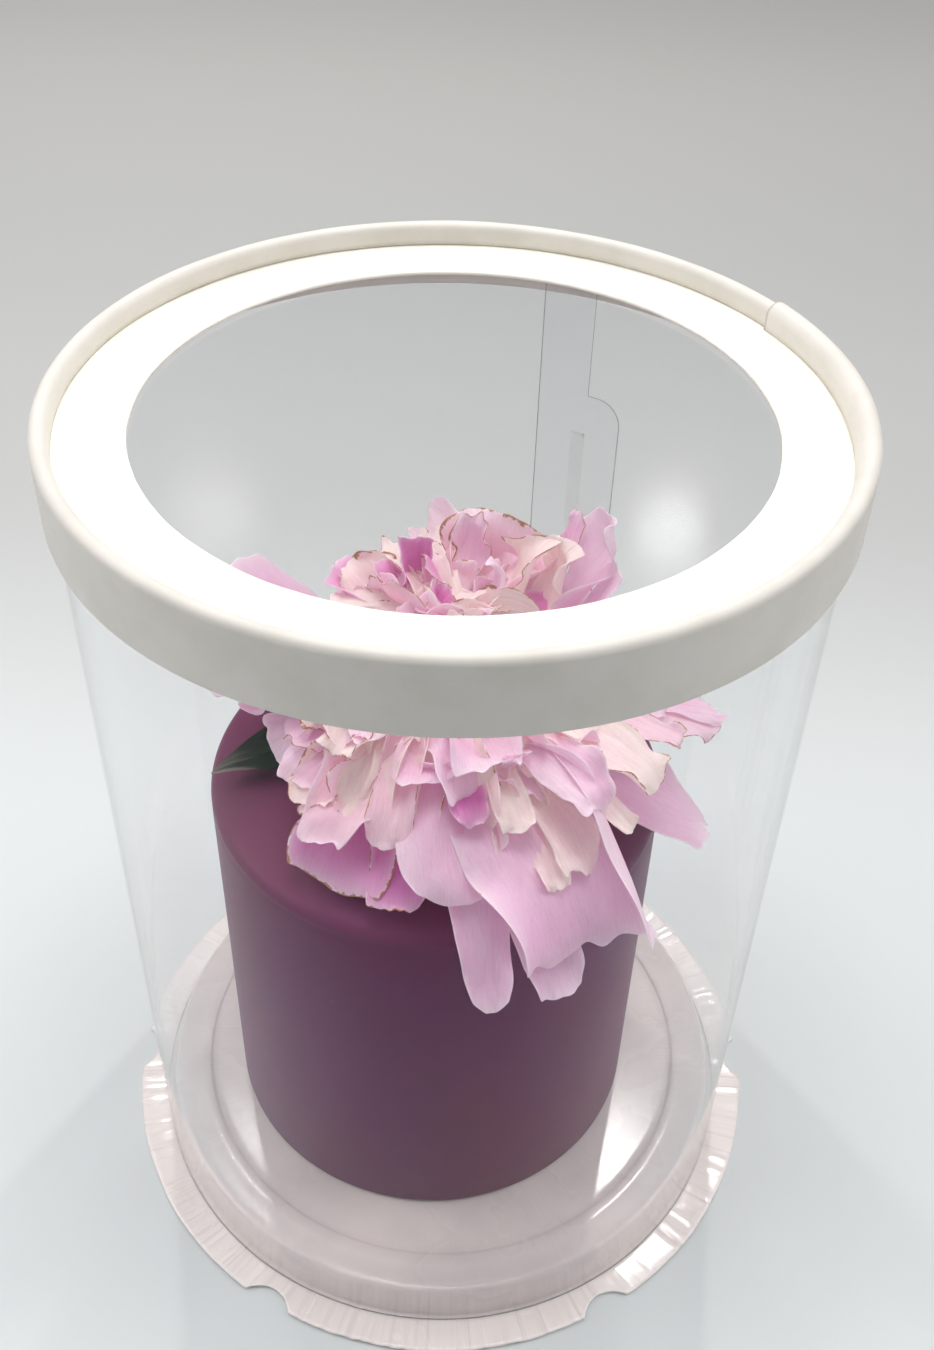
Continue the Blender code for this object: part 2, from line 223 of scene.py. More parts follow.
class Recipe:
    """A node material under construction: add() makes a node and wires its inputs."""

    def __init__(self, name):
        self.material = bpy.data.materials.new(name)
        self.material.use_nodes = True
        self.tree = self.material.node_tree
        self.tree.nodes.clear()
        self.output = self.tree.nodes.new("ShaderNodeOutputMaterial")

    def add(self, kind, inputs=None, **settings):
        node = self.tree.nodes.new("ShaderNode" + kind)
        for key, value in settings.items():
            setattr(node, key, value)
        for key, value in (inputs or {}).items():
            self.feed(node.inputs[key], value)
        return node

    def feed(self, socket, value):
        """Links an input to another node's output, or sets it to a plain value."""
        if isinstance(value, bpy.types.NodeSocket):
            self.tree.links.new(value, socket)
        else:
            socket.default_value = value

    def value(self, operation, a, b=0.0, clamp=False):
        return self.add("Math", {0: a, 1: b}, operation=operation, use_clamp=clamp).outputs[0]

    def times(self, a, b):
        return self.value("MULTIPLY", a, b)

    def plus(self, a, b):
        return self.value("ADD", a, b)

    def minus(self, a, b):
        return self.value("SUBTRACT", a, b)

    def noise(self, scale, detail, rough=0.55, vector=None):
        vector = self.place() if vector is None else vector
        inputs = {"Scale": scale, "Detail": detail, "Roughness": rough, "Vector": vector}
        return self.add("TexNoise", inputs).outputs["Fac"]

    def place(self):
        return self.add("TexCoord").outputs["Object"]

    def split(self, vector):
        return self.add("SeparateXYZ", {0: vector}).outputs

    def ramp(self, fac, low, high):
        """0 below low and 1 above high."""
        inputs = {"Value": fac, "From Min": low, "From Max": high}
        return self.add("MapRange", inputs, interpolation_type="SMOOTHSTEP").outputs[0]

    def blend(self, fac, a, b, mode="MIX"):
        node = self.add("Mix", data_type="RGBA", blend_type=mode)
        for index, value in ((0, fac), (6, a), (7, b)):
            self.feed(node.inputs[index], value)
        return node.outputs[2]

    def bump(self, height, strength, distance):
        inputs = {"Height": height, "Strength": strength, "Distance": distance}
        return self.add("Bump", inputs).outputs[0]

    def surface(self, shader):
        self.tree.links.new(shader, self.output.inputs["Surface"])
        return self.material


def rgb(r, g, b):
    """Linear colour from 0..255 display values."""
    def linear(c):
        c /= 255
        return c / 12.92 if c <= 0.04045 else ((c + 0.055) / 1.055) ** 2.4
    return (linear(r), linear(g), linear(b), 1.0)


def tone(r, g, b):
    """The same colour as an array of three, for the petals' and the leaf's mesh tint."""
    return np.array(rgb(r, g, b)[:3])


def cylindrical(recipe):
    """(angle in radians, radius in metres, height in metres) sockets round the box's axis."""
    parts = recipe.split(recipe.place())
    angle = recipe.value("ARCTAN2", parts[1], parts[0])
    across = recipe.times(parts[0], parts[0])
    along = recipe.times(parts[1], parts[1])
    radius = recipe.value("SQRT", recipe.plus(across, along))
    return angle, radius, parts[2]


def card_material(name, light, dark, roughness, lap_shade_at=None):
    """Coated paper card: faint fibre mottle, fine grain, a soft sheen and a painted shade line along the
    step at a lap.
    """
    r = Recipe(name)
    mottle = r.noise(60.0, 4.0)
    fibre = r.noise(900.0, 3.0, 0.7)
    color = r.blend(r.ramp(mottle, 0.35, 0.70), light, dark)
    color = r.blend(r.times(r.ramp(fibre, 0.35, 0.75), 0.10), color, dark)
    height = r.plus(fibre, r.times(mottle, 0.6))
    # painted shade: a darker line along the step where the band's end laps over its start
    if lap_shade_at is not None:
        away = r.value("ABSOLUTE", r.minus(cylindrical(r)[0], lap_shade_at))
        crease = r.minus(1.0, r.ramp(away, 0.002, 0.010))
        color = r.blend(r.times(crease, 0.45), color, rgb(140, 120, 126))
    shader = r.add("BsdfPrincipled", {
        "Base Color": color,
        "Roughness": r.plus(r.times(fibre, 0.12), roughness),
        "Specular IOR Level": 0.35,
        "Normal": r.bump(height, 0.10, 0.0004),
    })
    return r.surface(shader.outputs[0])


def pearl_material():
    """Pearly laminated card: pinkish white, soft gloss, streaks up the plug with some painted shade in them,
    pleats in the flange with painted shade along them.
    """
    r = Recipe("pearl_card_look")
    angle, radius, _ = cylindrical(r)
    cloud = r.noise(26.0, 3.0)
    circling = r.add("CombineXYZ", {0: r.times(angle, 14.0), 1: 0.0, 2: 0.0}).outputs[0]
    streak = r.noise(2.2, 6.0, 0.75, circling)
    flange = r.ramp(radius, STEP_BASE_R - 0.5 * MM, STEP_BASE_R + 1.5 * MM)
    wall = r.times(r.ramp(radius, STEP_TOP_R - 1 * MM, STEP_TOP_R + 0.5 * MM),
                   r.minus(1.0, flange))
    color = r.blend(r.ramp(cloud, 0.30, 0.75), rgb(239, 226, 221), rgb(222, 209, 206))
    color = r.blend(flange, color, rgb(243, 234, 230))
    # painted shade along the flange's pleats
    line = r.times(flange, r.ramp(streak, 0.50, 0.72))
    color = r.blend(r.times(line, 0.65), color, rgb(190, 180, 176))
    # darker streaks up the plug's wall: faint striations together with painted shade on the wall
    wall_streak_shade = r.times(wall, r.ramp(streak, 0.40, 0.75))
    color = r.blend(r.times(wall_streak_shade, 0.35), color, rgb(168, 158, 152))
    pleat = r.times(streak, r.plus(r.times(flange, 0.8), 0.4))
    shader = r.add("BsdfPrincipled", {
        "Base Color": color,
        "Roughness": r.plus(r.times(cloud, 0.10), 0.22),
        "Specular IOR Level": 0.6,
        "Coat Weight": 0.8,
        "Coat Roughness": r.minus(0.15, r.times(flange, 0.07)),
        "Normal": r.bump(pleat, 0.8, 0.0009),
    })
    return r.surface(shader.outputs[0])


def clear_material(name, tint, haze, face_on=0.010, blur=0.025):
    """Thin clear sheet: see-through, mirror-like at a glancing view, hazed, grey along cut edges."""
    r = Recipe(name)
    scuff = r.noise(22.0, 4.0)
    lens = r.bump(r.noise(9.0, 1.0), 0.35, 0.0012)
    facing = r.add("LayerWeight", {"Blend": 0.5, "Normal": lens}).outputs["Facing"]
    edge = r.value("POWER", facing, 5.0)
    fresnel = r.plus(r.times(edge, 0.96), face_on)
    through = r.add("BsdfTransparent", {"Color": tint}).outputs[0]
    shine = r.add("BsdfGlossy", {
        "Color": (1.0, 1.0, 1.0, 1.0),
        "Roughness": blur,
        "Normal": lens,
    }).outputs[0]
    fog = r.add("BsdfDiffuse", {"Color": (1.0, 1.0, 1.0, 1.0)}).outputs[0]
    cloud = r.times(r.ramp(scuff, 0.25, 0.85), haze)
    veil = r.value("ADD", cloud, r.times(fresnel, haze * 1.5), clamp=True)
    body = r.add("MixShader", {0: veil, 1: through, 2: fog}).outputs[0]
    cut = r.add("Attribute", attribute_name="cut").outputs["Fac"]
    grey = r.add("BsdfDiffuse", {"Color": rgb(120, 124, 126)}).outputs[0]
    body = r.add("MixShader", {0: r.times(cut, 0.6), 1: body, 2: grey}).outputs[0]
    return r.surface(r.add("MixShader", {0: fresnel, 1: body, 2: shine}).outputs[0])


def mark_cut_edges(mesh, rows, columns):
    """Marks a lofted sheet's outline, which the clear material shows as a grey cut edge."""
    cut = np.zeros((rows, columns))
    cut[0] = cut[-1] = cut[:, 0] = cut[:, -1] = 1.0
    mesh.attributes.new("cut", "FLOAT", "POINT").data.foreach_set("value", cut.ravel().astype(np.float32))


def plum_material():
    """Satin plum coating, redder in broad clouds, with a painted sheen that makes the shoulder paler, and a
    few dust specks.
    """
    r = Recipe("plum_satin_look")
    broad = r.noise(11.0, 2.0)
    color = r.blend(r.ramp(broad, 0.36, 0.66), rgb(98, 28, 80), rgb(102, 28, 66))
    height = r.split(r.place())[2]
    # painted sheen: the shoulder, which faces up to the light, is painted paler
    shoulder = r.ramp(height, SHOULDER_Z - 3 * MM, SHOULDER_Z + 3 * MM)
    color = r.blend(r.times(shoulder, 0.28), color, rgb(150, 92, 126))
    speck = r.add("TexVoronoi", {"Vector": r.place(), "Scale": 95.0, "Randomness": 1.0})
    size = r.noise(60.0, 1.0)
    limit = r.times(r.ramp(size, 0.60, 0.80), 0.07)
    dust = r.value("LESS_THAN", speck.outputs["Distance"], limit)
    color = r.blend(r.times(dust, 0.55), color, rgb(190, 165, 180))
    shader = r.add("BsdfPrincipled", {
        "Base Color": color,
        "Roughness": r.plus(r.times(broad, 0.10), 0.34),
        "Specular IOR Level": 0.12,
        "Sheen Weight": 0.10,
        "Sheen Roughness": 0.40,
        "Sheen Tint": rgb(200, 150, 200),
    })
    return r.surface(shader.outputs[0])


def petal_material():
    """Petal tissue coloured by the mesh's tint, with fine veins, dried rims and light through it; the thin
    rim is whitened with painted light and the whole petal has a faint painted glow.
    """
    r = Recipe("petal_tissue")
    tint = r.add("Attribute", attribute_name="tint")
    grain = r.add("Attribute", attribute_name="grain").outputs["Vector"]
    part = r.split(grain)
    lines = r.add("CombineXYZ", {0: r.times(part[0], 0.07), 1: part[1], 2: 0.0})
    vein = r.noise(2.2, 4.0, 0.62, lines.outputs[0])
    crease = r.noise(0.16, 3.0, 0.5, grain)
    color = tint.outputs["Color"]
    strength = r.times(r.ramp(vein, 0.42, 0.70), 0.52)
    color = r.blend(strength, color, r.blend(1.0, color, (0.93, 0.76, 0.87, 1.0), "MULTIPLY"))
    # painted light: the thin rim is whitened as if lit through from behind
    rim = r.times(r.ramp(part[2], 0.70, 1.0), 0.55)
    color = r.blend(rim, color, (1.0, 0.95, 0.97, 1.0))
    patch = r.noise(0.55, 3.0, 0.6, grain)
    dry = r.plus(part[2], r.times(patch, 1.2))
    dry = r.plus(dry, tint.outputs["Alpha"])
    brown = r.ramp(dry, 1.76, 1.86)
    color = r.blend(r.times(brown, 0.85), color, rgb(188, 134, 82))
    height = r.plus(vein, r.times(crease, 2.2))
    normal = r.bump(height, 0.50, 0.0007)
    face = r.add("BsdfPrincipled", {
        "Base Color": color,
        "Roughness": 0.50,
        "Specular IOR Level": 0.30,
        "Sheen Weight": 0.25,
        "Sheen Roughness": 0.5,
        # painted glow: the petal gives off a little light of its own colour
        "Emission Color": color,
        "Emission Strength": 0.07,
        "Normal": normal,
    }).outputs[0]
    glow = r.add("BsdfTranslucent", {
        "Color": r.blend(0.5, color, (1.0, 0.84, 0.96, 1.0), "MULTIPLY"),
        "Normal": normal,
    }).outputs[0]
    return r.surface(r.add("MixShader", {0: 0.44, 1: face, 2: glow}).outputs[0])


def leaf_material():
    """Dark waxy leaf coloured by the mesh's tint, with a faint net of cells and light through it."""
    r = Recipe("leaf_tissue")
    tint = r.add("Attribute", attribute_name="tint")
    grain = r.add("Attribute", attribute_name="grain").outputs["Vector"]
    cell = r.add("TexVoronoi", {"Vector": grain, "Scale": 0.9}, feature="DISTANCE_TO_EDGE")
    net = r.ramp(cell.outputs["Distance"], 0.0, 0.06)
    color = r.blend(r.times(r.minus(1.0, net), 0.12), tint.outputs["Color"], rgb(110, 140, 110))
    face = r.add("BsdfPrincipled", {
        "Base Color": color,
        "Roughness": 0.50,
        "Specular IOR Level": 0.16,
        "Normal": r.bump(net, 0.25, 0.0003),
    }).outputs[0]
    glow = r.add("BsdfTranslucent", {"Color": rgb(90, 130, 60)}).outputs[0]
    return r.surface(r.add("MixShader", {0: 0.10, 1: face, 2: glow}).outputs[0])


def stem_material():
    """Green stem with slight ribs and brownish streaks."""
    r = Recipe("stem_tissue")
    streak = r.noise(220.0, 3.0)
    color = r.blend(r.ramp(streak, 0.35, 0.7), rgb(96, 116, 62), rgb(120, 96, 66))
    shader = r.add("BsdfPrincipled", {
        "Base Color": color,
        "Roughness": 0.45,
        "Normal": r.bump(streak, 0.3, 0.0004),
    })
    return r.surface(shader.outputs[0])


# ---------------------------------------------------------------- tray

NOTCH_COUNT = 6
NOTCH_W = 18 * MM
NOTCH_D = 5 * MM
TRAY_T = 0.8 * MM


def notched_edge(angles):
    """Radius of the flange's edge: round, with a scooped thumb notch at every 60 degrees."""
    scoop = (NOTCH_W ** 2 / 4 + NOTCH_D ** 2) / (2 * NOTCH_D)
    centre = FLANGE_R - NOTCH_D + scoop
    step = 2 * math.pi / NOTCH_COUNT
    away = (angles + step / 2) % step - step / 2
    inside = np.clip(scoop ** 2 - (centre * np.sin(away)) ** 2, 0, None)
    cut = centre * np.cos(away) - np.sqrt(inside)
    return np.where(inside > 0, np.minimum(cut, FLANGE_R), FLANGE_R)


def pleats(angles):
    """Height of the flange's pressed pleats, 0 to about 1, in bunches of sharp irregular ridges."""
    rng = np.random.default_rng(11)
    total = np.zeros_like(angles)
    for _ in range(150):
        where = rng.uniform(0, 2 * math.pi)
        width = rng.uniform(0.004, 0.012)
        away = (angles - where + math.pi) % (2 * math.pi) - math.pi
        total += rng.uniform(0.25, 1.0) * np.exp(-(away / width) ** 2)
    bunch = 0.35 + 0.65 * unit(round_waves(angles, 5, 3, 2) + 0.35)
    return np.clip(total, 0, 1.4) * bunch


def cracks(angles):
    """Depth of the few creases where the flange's pressed edge has split, 0 to 1."""
    total = np.zeros_like(angles)
    for degrees in (-160, -149, -131, -113, -104, -43, -37, -22, -12, 21, 48, 75, 97, 124, 152, 171):
        away = (angles - math.radians(degrees) + math.pi) % (2 * math.pi) - math.pi
        total += np.exp(-(away / 0.0035) ** 2)
    return unit(total)


def build_tray(material):
    """Pressed tray: recessed platform, rounded step, and a pleated flange with thumb notches."""
    recess = 0.8 * MM
    slope_r = 14 * MM                   # rounding of the slope up from the recess
    brow_r = 2.6 * MM                   # rounding of the plug's top edge
    flange_r = STEP_BASE_R + 0.7 * MM   # the flange starts here
    top = [(0.0, STEP_H - recess), (RECESS_R - 6 * MM, STEP_H - recess)]
    top += arc((RECESS_R - 6 * MM, STEP_H - recess + slope_r), slope_r, -90, -77, 5)
    top += arc((RECESS_R + 0.4 * MM, STEP_H - slope_r), slope_r, 103, 82, 7)
    top += arc((STEP_TOP_R - brow_r, STEP_H - 0.3 * MM - brow_r), brow_r, 82, 10, 8)
    top += [(STEP_BASE_R, TRAY_T + 0.5 * MM), (flange_r, TRAY_T)]
    top = densify(top, 3 * MM)
    flange_from = len(top)
    flange = [(flange_r + share * (FLANGE_R - flange_r), TRAY_T)
              for share in np.linspace(0.08, 1.0, 9)]
    edge = [(FLANGE_R + 0.05 * MM, TRAY_T / 2), (FLANGE_R, 0.05 * MM)]
    under = [(STEP_BASE_R, 0.05 * MM), (STEP_BASE_R - TRAY_T, 0.4 * MM),
             (STEP_TOP_R - TRAY_T, STEP_H - 2 * TRAY_T - 1 * MM),
             (STEP_TOP_R - 4 * MM, STEP_H - TRAY_T), (RECESS_R + 1 * MM, STEP_H - TRAY_T),
             (RECESS_R - 2 * MM, STEP_H - recess - TRAY_T), (0.0, STEP_H - recess - TRAY_T)]
    profile = np.vstack([top, flange, edge, under])
    flange_to = flange_from + len(flange) + len(edge)

    def change(r, z, a):
        rim = notched_edge(a) + 0.25 * MM * round_waves(a, 3, 5, 9)
        share = np.clip((r - STEP_BASE_R) / (FLANGE_R - STEP_BASE_R), 0, None)
        on_flange = np.zeros_like(r)
        on_flange[flange_from:flange_to] = 1.0
        squeezed = STEP_BASE_R + share * (rim - STEP_BASE_R)
        r = np.where(on_flange > 0, squeezed, r)
        rise = on_flange * unit(share) ** 0.6
        lift = 0.85 * MM * pleats(a) * (0.45 + 0.55 * unit(share))
        warp = 0.35 * MM * (1 + round_waves(a, 8, 2, 2)) * share ** 2
        dip = 0.45 * MM * cracks(a)
        z = z + rise * (lift + warp + 0.3 * MM - dip)
        wall = (r > STEP_TOP_R - 2 * MM) & (on_flange == 0) & (z > 1.5 * MM)
        r = r + np.where(wall, 0.10 * MM * round_waves(a, 21, 5, 30), 0)
        return r, z

    turned_piece("tray_shell", profile, circle(1080), "base", material, "base_tray",
                 change)


# ---------------------------------------------------------------- tube

SHEET_T = 0.4 * MM
TAPE_T = 0.1 * MM
OUTER_END = math.radians(58.6)      # where the sheet's outer edge stands, along its flap
NARROW_END = math.radians(65.2)     # and above the flap, where it is cut back
TAPE_END = math.radians(67.8)
INNER_END = math.radians(74.5)      # where the sheet's inner edge stands, behind the outer
FLAP_TOP = 0.2435
FLAP_CORNER = 9 * MM
LAP_STEP = 0.9 * MM                 # how far the inner end steps in under the outer
CUT_EDGE = 0.35 * MM


def outer_end_angle(z):
    """Angle of the sheet's outer edge: a flap with a round corner below, cut back above."""
    drop = unit((z - (FLAP_TOP - FLAP_CORNER)) / FLAP_CORNER)
    rounding = FLAP_CORNER * (1 - np.sqrt(1 - drop ** 2)) / TUBE_R
    flap = OUTER_END + np.where(z > FLAP_TOP - FLAP_CORNER, rounding, 0)
    return np.where(z > FLAP_TOP, NARROW_END, np.minimum(flap, NARROW_END - 0.02))


def build_tube(material):
    """The clear sheet rolled once round, its inner end tucked behind the outer end."""
    levels = np.concatenate([
        [TUBE_FOOT], np.linspace(TUBE_FOOT + CUT_EDGE, FLAP_TOP - FLAP_CORNER, 30)[:-1],
        FLAP_TOP - FLAP_CORNER + FLAP_CORNER * np.sin(np.linspace(0, math.pi / 2, 9)),
        np.linspace(FLAP_TOP + 0.15 * MM, TUBE_TOP - CUT_EDGE, 8), [TUBE_TOP],
    ])
    start = np.concatenate([[0, CUT_EDGE / (TUBE_R * (INNER_END - OUTER_END))], np.linspace(.12, 1, 8)])
    tail = np.linspace(INNER_END, 2 * math.pi + INNER_END, 241)[1:]
    tail = np.concatenate([tail[:-1], [tail[-1] - CUT_EDGE / TUBE_R, tail[-1]]])
    points = np.zeros((len(start) + len(tail), len(levels), 3))
    first = outer_end_angle(levels)
    angles = np.vstack([
        first[None, :] + (INNER_END - first)[None, :] * start[:, None],
        np.repeat(tail[:, None], len(levels), axis=1),
    ])
    joggle_from = 2 * math.pi + OUTER_END - math.radians(14)
    inward = unit((angles - joggle_from) / math.radians(11))
    inward = inward * inward * (3 - 2 * inward)
    radius = TUBE_R - LAP_STEP * inward
    height = levels[None, :]
    ripple = waves(angles * 2, 4, 2, 1.0) * np.sin(math.pi * (height - TUBE_FOOT) / (TUBE_TOP - TUBE_FOOT))
    radius = radius + 0.16 * MM * ripple
    points[..., 0] = radius * np.cos(angles)
    points[..., 1] = radius * np.sin(angles)
    points[..., 2] = height
    mesh = loft("tube_clear_sheet", points)
    mark_cut_edges(mesh, len(angles), len(levels))
    tube = piece("tube_clear_sheet", mesh, "tube", material, ["tube_sheet"])
    thicken(tube, SHEET_T, -1.0)


def build_tape(material):
    """Clear adhesive strip caught between the two layers of the tube's overlap."""
    a = np.linspace(NARROW_END, TAPE_END, 5)
    z = np.linspace(TAPE_LOW[2], TAPE_HIGH[2], 60)
    radius = TUBE_R - SHEET_T - (LAP_STEP - SHEET_T) / 2
    points = np.zeros((len(a), len(z), 3))
    points[..., 0] = radius * np.cos(a)[:, None]
    points[..., 1] = radius * np.sin(a)[:, None]
    points[..., 2] = z[None, :]
    tape = piece("tube_tape_strip", loft("tube_tape_strip", points), "tube", material,
                 ["tube_seam_tape"])
    thicken(tape, TAPE_T)


# ---------------------------------------------------------------- lid

LAP_AT = math.radians(30.0)
LAP_RISE = 1.2 * MM


def lap_rise(angles):
    """Extra thickness where the band's end laps over its start: a sharp step that fades away."""
    away = (LAP_AT - angles) % (2 * math.pi)
    fade = unit(1 - (away - 0.35) / 0.9)
    return LAP_RISE * fade * fade * (3 - 2 * fade)


def build_band(material):
    """Rolled card band: outer skirt, round bead on top, turned down inside to the ring."""
    bead = (LID_R - RIM_INNER_R) / 2
    centre = (LID_R - bead, LID_TOP - bead)
    tucked = RING_TOP + 0.25 * MM       # the turned-down end stops just above the ring
    soft_foot = BAND_FOOT + 0.3 * MM
    outer = [(LID_R, soft_foot), (LID_R, centre[1])]
    outer += arc(centre, bead, 5, 175, 22)
    outer += [(RIM_INNER_R, tucked)]
    inner = [(RIM_INNER_R + CARD_T, tucked)]
    inner += arc(centre, bead - CARD_T, 180, 0, 12)
    inner += [(LID_R - CARD_T, soft_foot), (LID_R - CARD_T * 0.7, BAND_FOOT),
              (LID_R - CARD_T * 0.3, BAND_FOOT)]
    profile = densify(outer + inner, 2.2 * MM)
    seam = [LAP_AT - 0.0012, LAP_AT, LAP_AT + 0.0012]
    angles = np.sort(np.concatenate([circle(480), seam]))
    outside = np.ones(len(profile))
    gap = np.hypot(profile[:, 0] - (RIM_INNER_R + CARD_T), profile[:, 1] - tucked)
    outside[int(np.argmin(gap)):] = 0.0

    def change(r, z, a):
        away_r = np.where(z > centre[1], r - centre[0], np.sign(r - centre[0]) * bead)
        away_z = np.where(z > centre[1], z - centre[1], 0)
        size = np.hypot(away_r, away_z) + 1e-9
        rise = outside[:, None] * (lap_rise(a) - 0.25 * MM + 0.10 * MM * round_waves(a, 31, 4, 3))
        return r + away_r / size * rise, z + away_z / size * rise

    turned_piece("lid_band", profile, angles, "lid", material, "lid_side_band",
                 change, closed=True)


def build_ring(material):
    """Flat card ring with a die-cut window edge, slightly rough at a few spots."""
    outer = LID_R - CARD_T - 0.5 * MM
    soft = 0.2 * MM
    profile = [(WINDOW_R, RING_UNDER), (WINDOW_R, RING_TOP - soft)]
    profile += arc((WINDOW_R + soft, RING_TOP - soft), soft, 180, 90, 4)
    profile += [(outer, RING_TOP), (outer, RING_UNDER)]
    profile = densify(profile, 2.5 * MM)
    profile = np.vstack([profile, densify([(outer, RING_UNDER), (WINDOW_R, RING_UNDER)], 6 * MM)[1:-1]])

    def change(r, z, a):
        near = np.exp(-((r - WINDOW_R) / (0.4 * MM)) ** 2)
        fray = 0.10 * MM * round_waves(a, 41, 6, 12)
        fray = fray + 0.22 * MM * unit(round_waves(a, 42, 5, 25) - 0.8)
        return r - near * fray, z + 0.05 * MM * round_waves(a, 43, 3, 2)

    turned_piece("lid_ring_card", profile, circle(480), "lid", material, "lid_top_ring",
                 change, closed=True)


def build_window(material):
    """Clear film stretched under the ring, with a very slight sag."""
    radius = (FILM_HIGH[0] - FILM_LOW[0]) / 2
    profile = densify([(0.0, FILM_HIGH[2]), (radius, FILM_HIGH[2])], 8 * MM)
    under = densify([(radius, FILM_LOW[2]), (0.0, FILM_LOW[2])], 8 * MM)

    def change(r, z, a):
        sag = 0.15 * MM * round_waves(a, 51, 2, 1) * (r / radius) * (1 - (r / radius) ** 2)
        return r, z + sag

    turned_piece("lid_window", np.vstack([profile, under]), circle(160), "lid", material,
                 "lid_window_film", change)


# ---------------------------------------------------------------- vase


def build_vase(material):
    """Straight vase with a rounded shoulder edge, fine mould lines there, and a small mouth lip."""
    wall = 2.5 * MM
    mouth_r = 40 * MM
    lip_r = 1.1 * MM
    lip_out = mouth_r + 2 * lip_r
    small_r = 1.5 * MM                  # rounding of the foot, and of the hollow beside the lip
    shoulder_r = 5.0 * MM
    cone = math.atan2(VASE_TOP - 2 * lip_r - SHOULDER_Z, VASE_R - lip_out)
    turn = math.degrees(math.pi / 2 - cone)
    outside = arc((mouth_r + lip_r, VASE_TOP - lip_r), lip_r, 180, 0, 10)
    outside += [(lip_out, VASE_TOP - 2.6 * MM)]
    outside += arc((lip_out + small_r, VASE_TOP - 1.2 * MM), small_r, 200, 235, 4)
    outside += arc((VASE_R - shoulder_r, SHOULDER_Z - 1.4 * MM), shoulder_r, turn, 0, 12)
    outside += [(VASE_R, VASE_FOOT + small_r)]
    outside += arc((VASE_R - small_r, VASE_FOOT + small_r), small_r, -10, -90, 5)
    outside += [(VASE_R * 0.9, VASE_FOOT), (VASE_R * 0.86, VASE_FOOT + 1 * MM),
                (0.0, VASE_FOOT + 1 * MM)]
    inside = [(0.0, VASE_FOOT + wall), (VASE_R - wall - 3 * MM, VASE_FOOT + wall),
              (VASE_R - wall, VASE_FOOT + wall + 3 * MM), (VASE_R - wall, SHOULDER_Z - 3 * MM),
              (VASE_R - wall - 3 * MM, SHOULDER_Z - 1.0 * MM), (mouth_r, VASE_TOP - 4.5 * MM)]
    profile = densify(inside + outside, 1.6 * MM)
    line_z = (SHOULDER_Z - 1.6 * MM, SHOULDER_Z - 3.0 * MM)

    def change(r, z, a):
        on_side = r > VASE_R - 4 * MM
        groove = sum(np.exp(-((z - level) / (0.35 * MM)) ** 2) for level in line_z)
        uneven = 0.06 * MM * round_waves(a, 61, 3, 2)
        return r + np.where(on_side, uneven - 0.10 * MM * groove, 0), z

    turned_piece("vase_shell", profile, circle(288), "vase", material, "vase_body",
                 change, VASE_AXIS[:2])


# ---------------------------------------------------------------- flower

GUARD_T, INNER_T, LEAF_T, SEPAL_T = 0.4 * MM, 0.35 * MM, 0.45 * MM, 0.6 * MM
WHITE_PINK = tone(255, 246, 250)
PALE = tone(253, 239, 247)
LILAC = tone(251, 227, 243)
PINK = tone(248, 194, 230)
MAGENTA = tone(226, 112, 200)
ORCHID = tone(242, 172, 224)
CREAM = tone(255, 251, 243)
BLUSH = tone(254, 236, 241)
ROSE = tone(250, 212, 230)
# each look: the colour at a petal's root, over its blade and along its rim
LOOKS = {
    "guard": (PINK, LILAC, WHITE_PINK),
    "pale": (PINK, PALE, WHITE_PINK),
    "vivid": (MAGENTA, ORCHID, PALE),
    "cream": (BLUSH, CREAM, CREAM),
    "blush": (ROSE, BLUSH, WHITE_PINK),
}


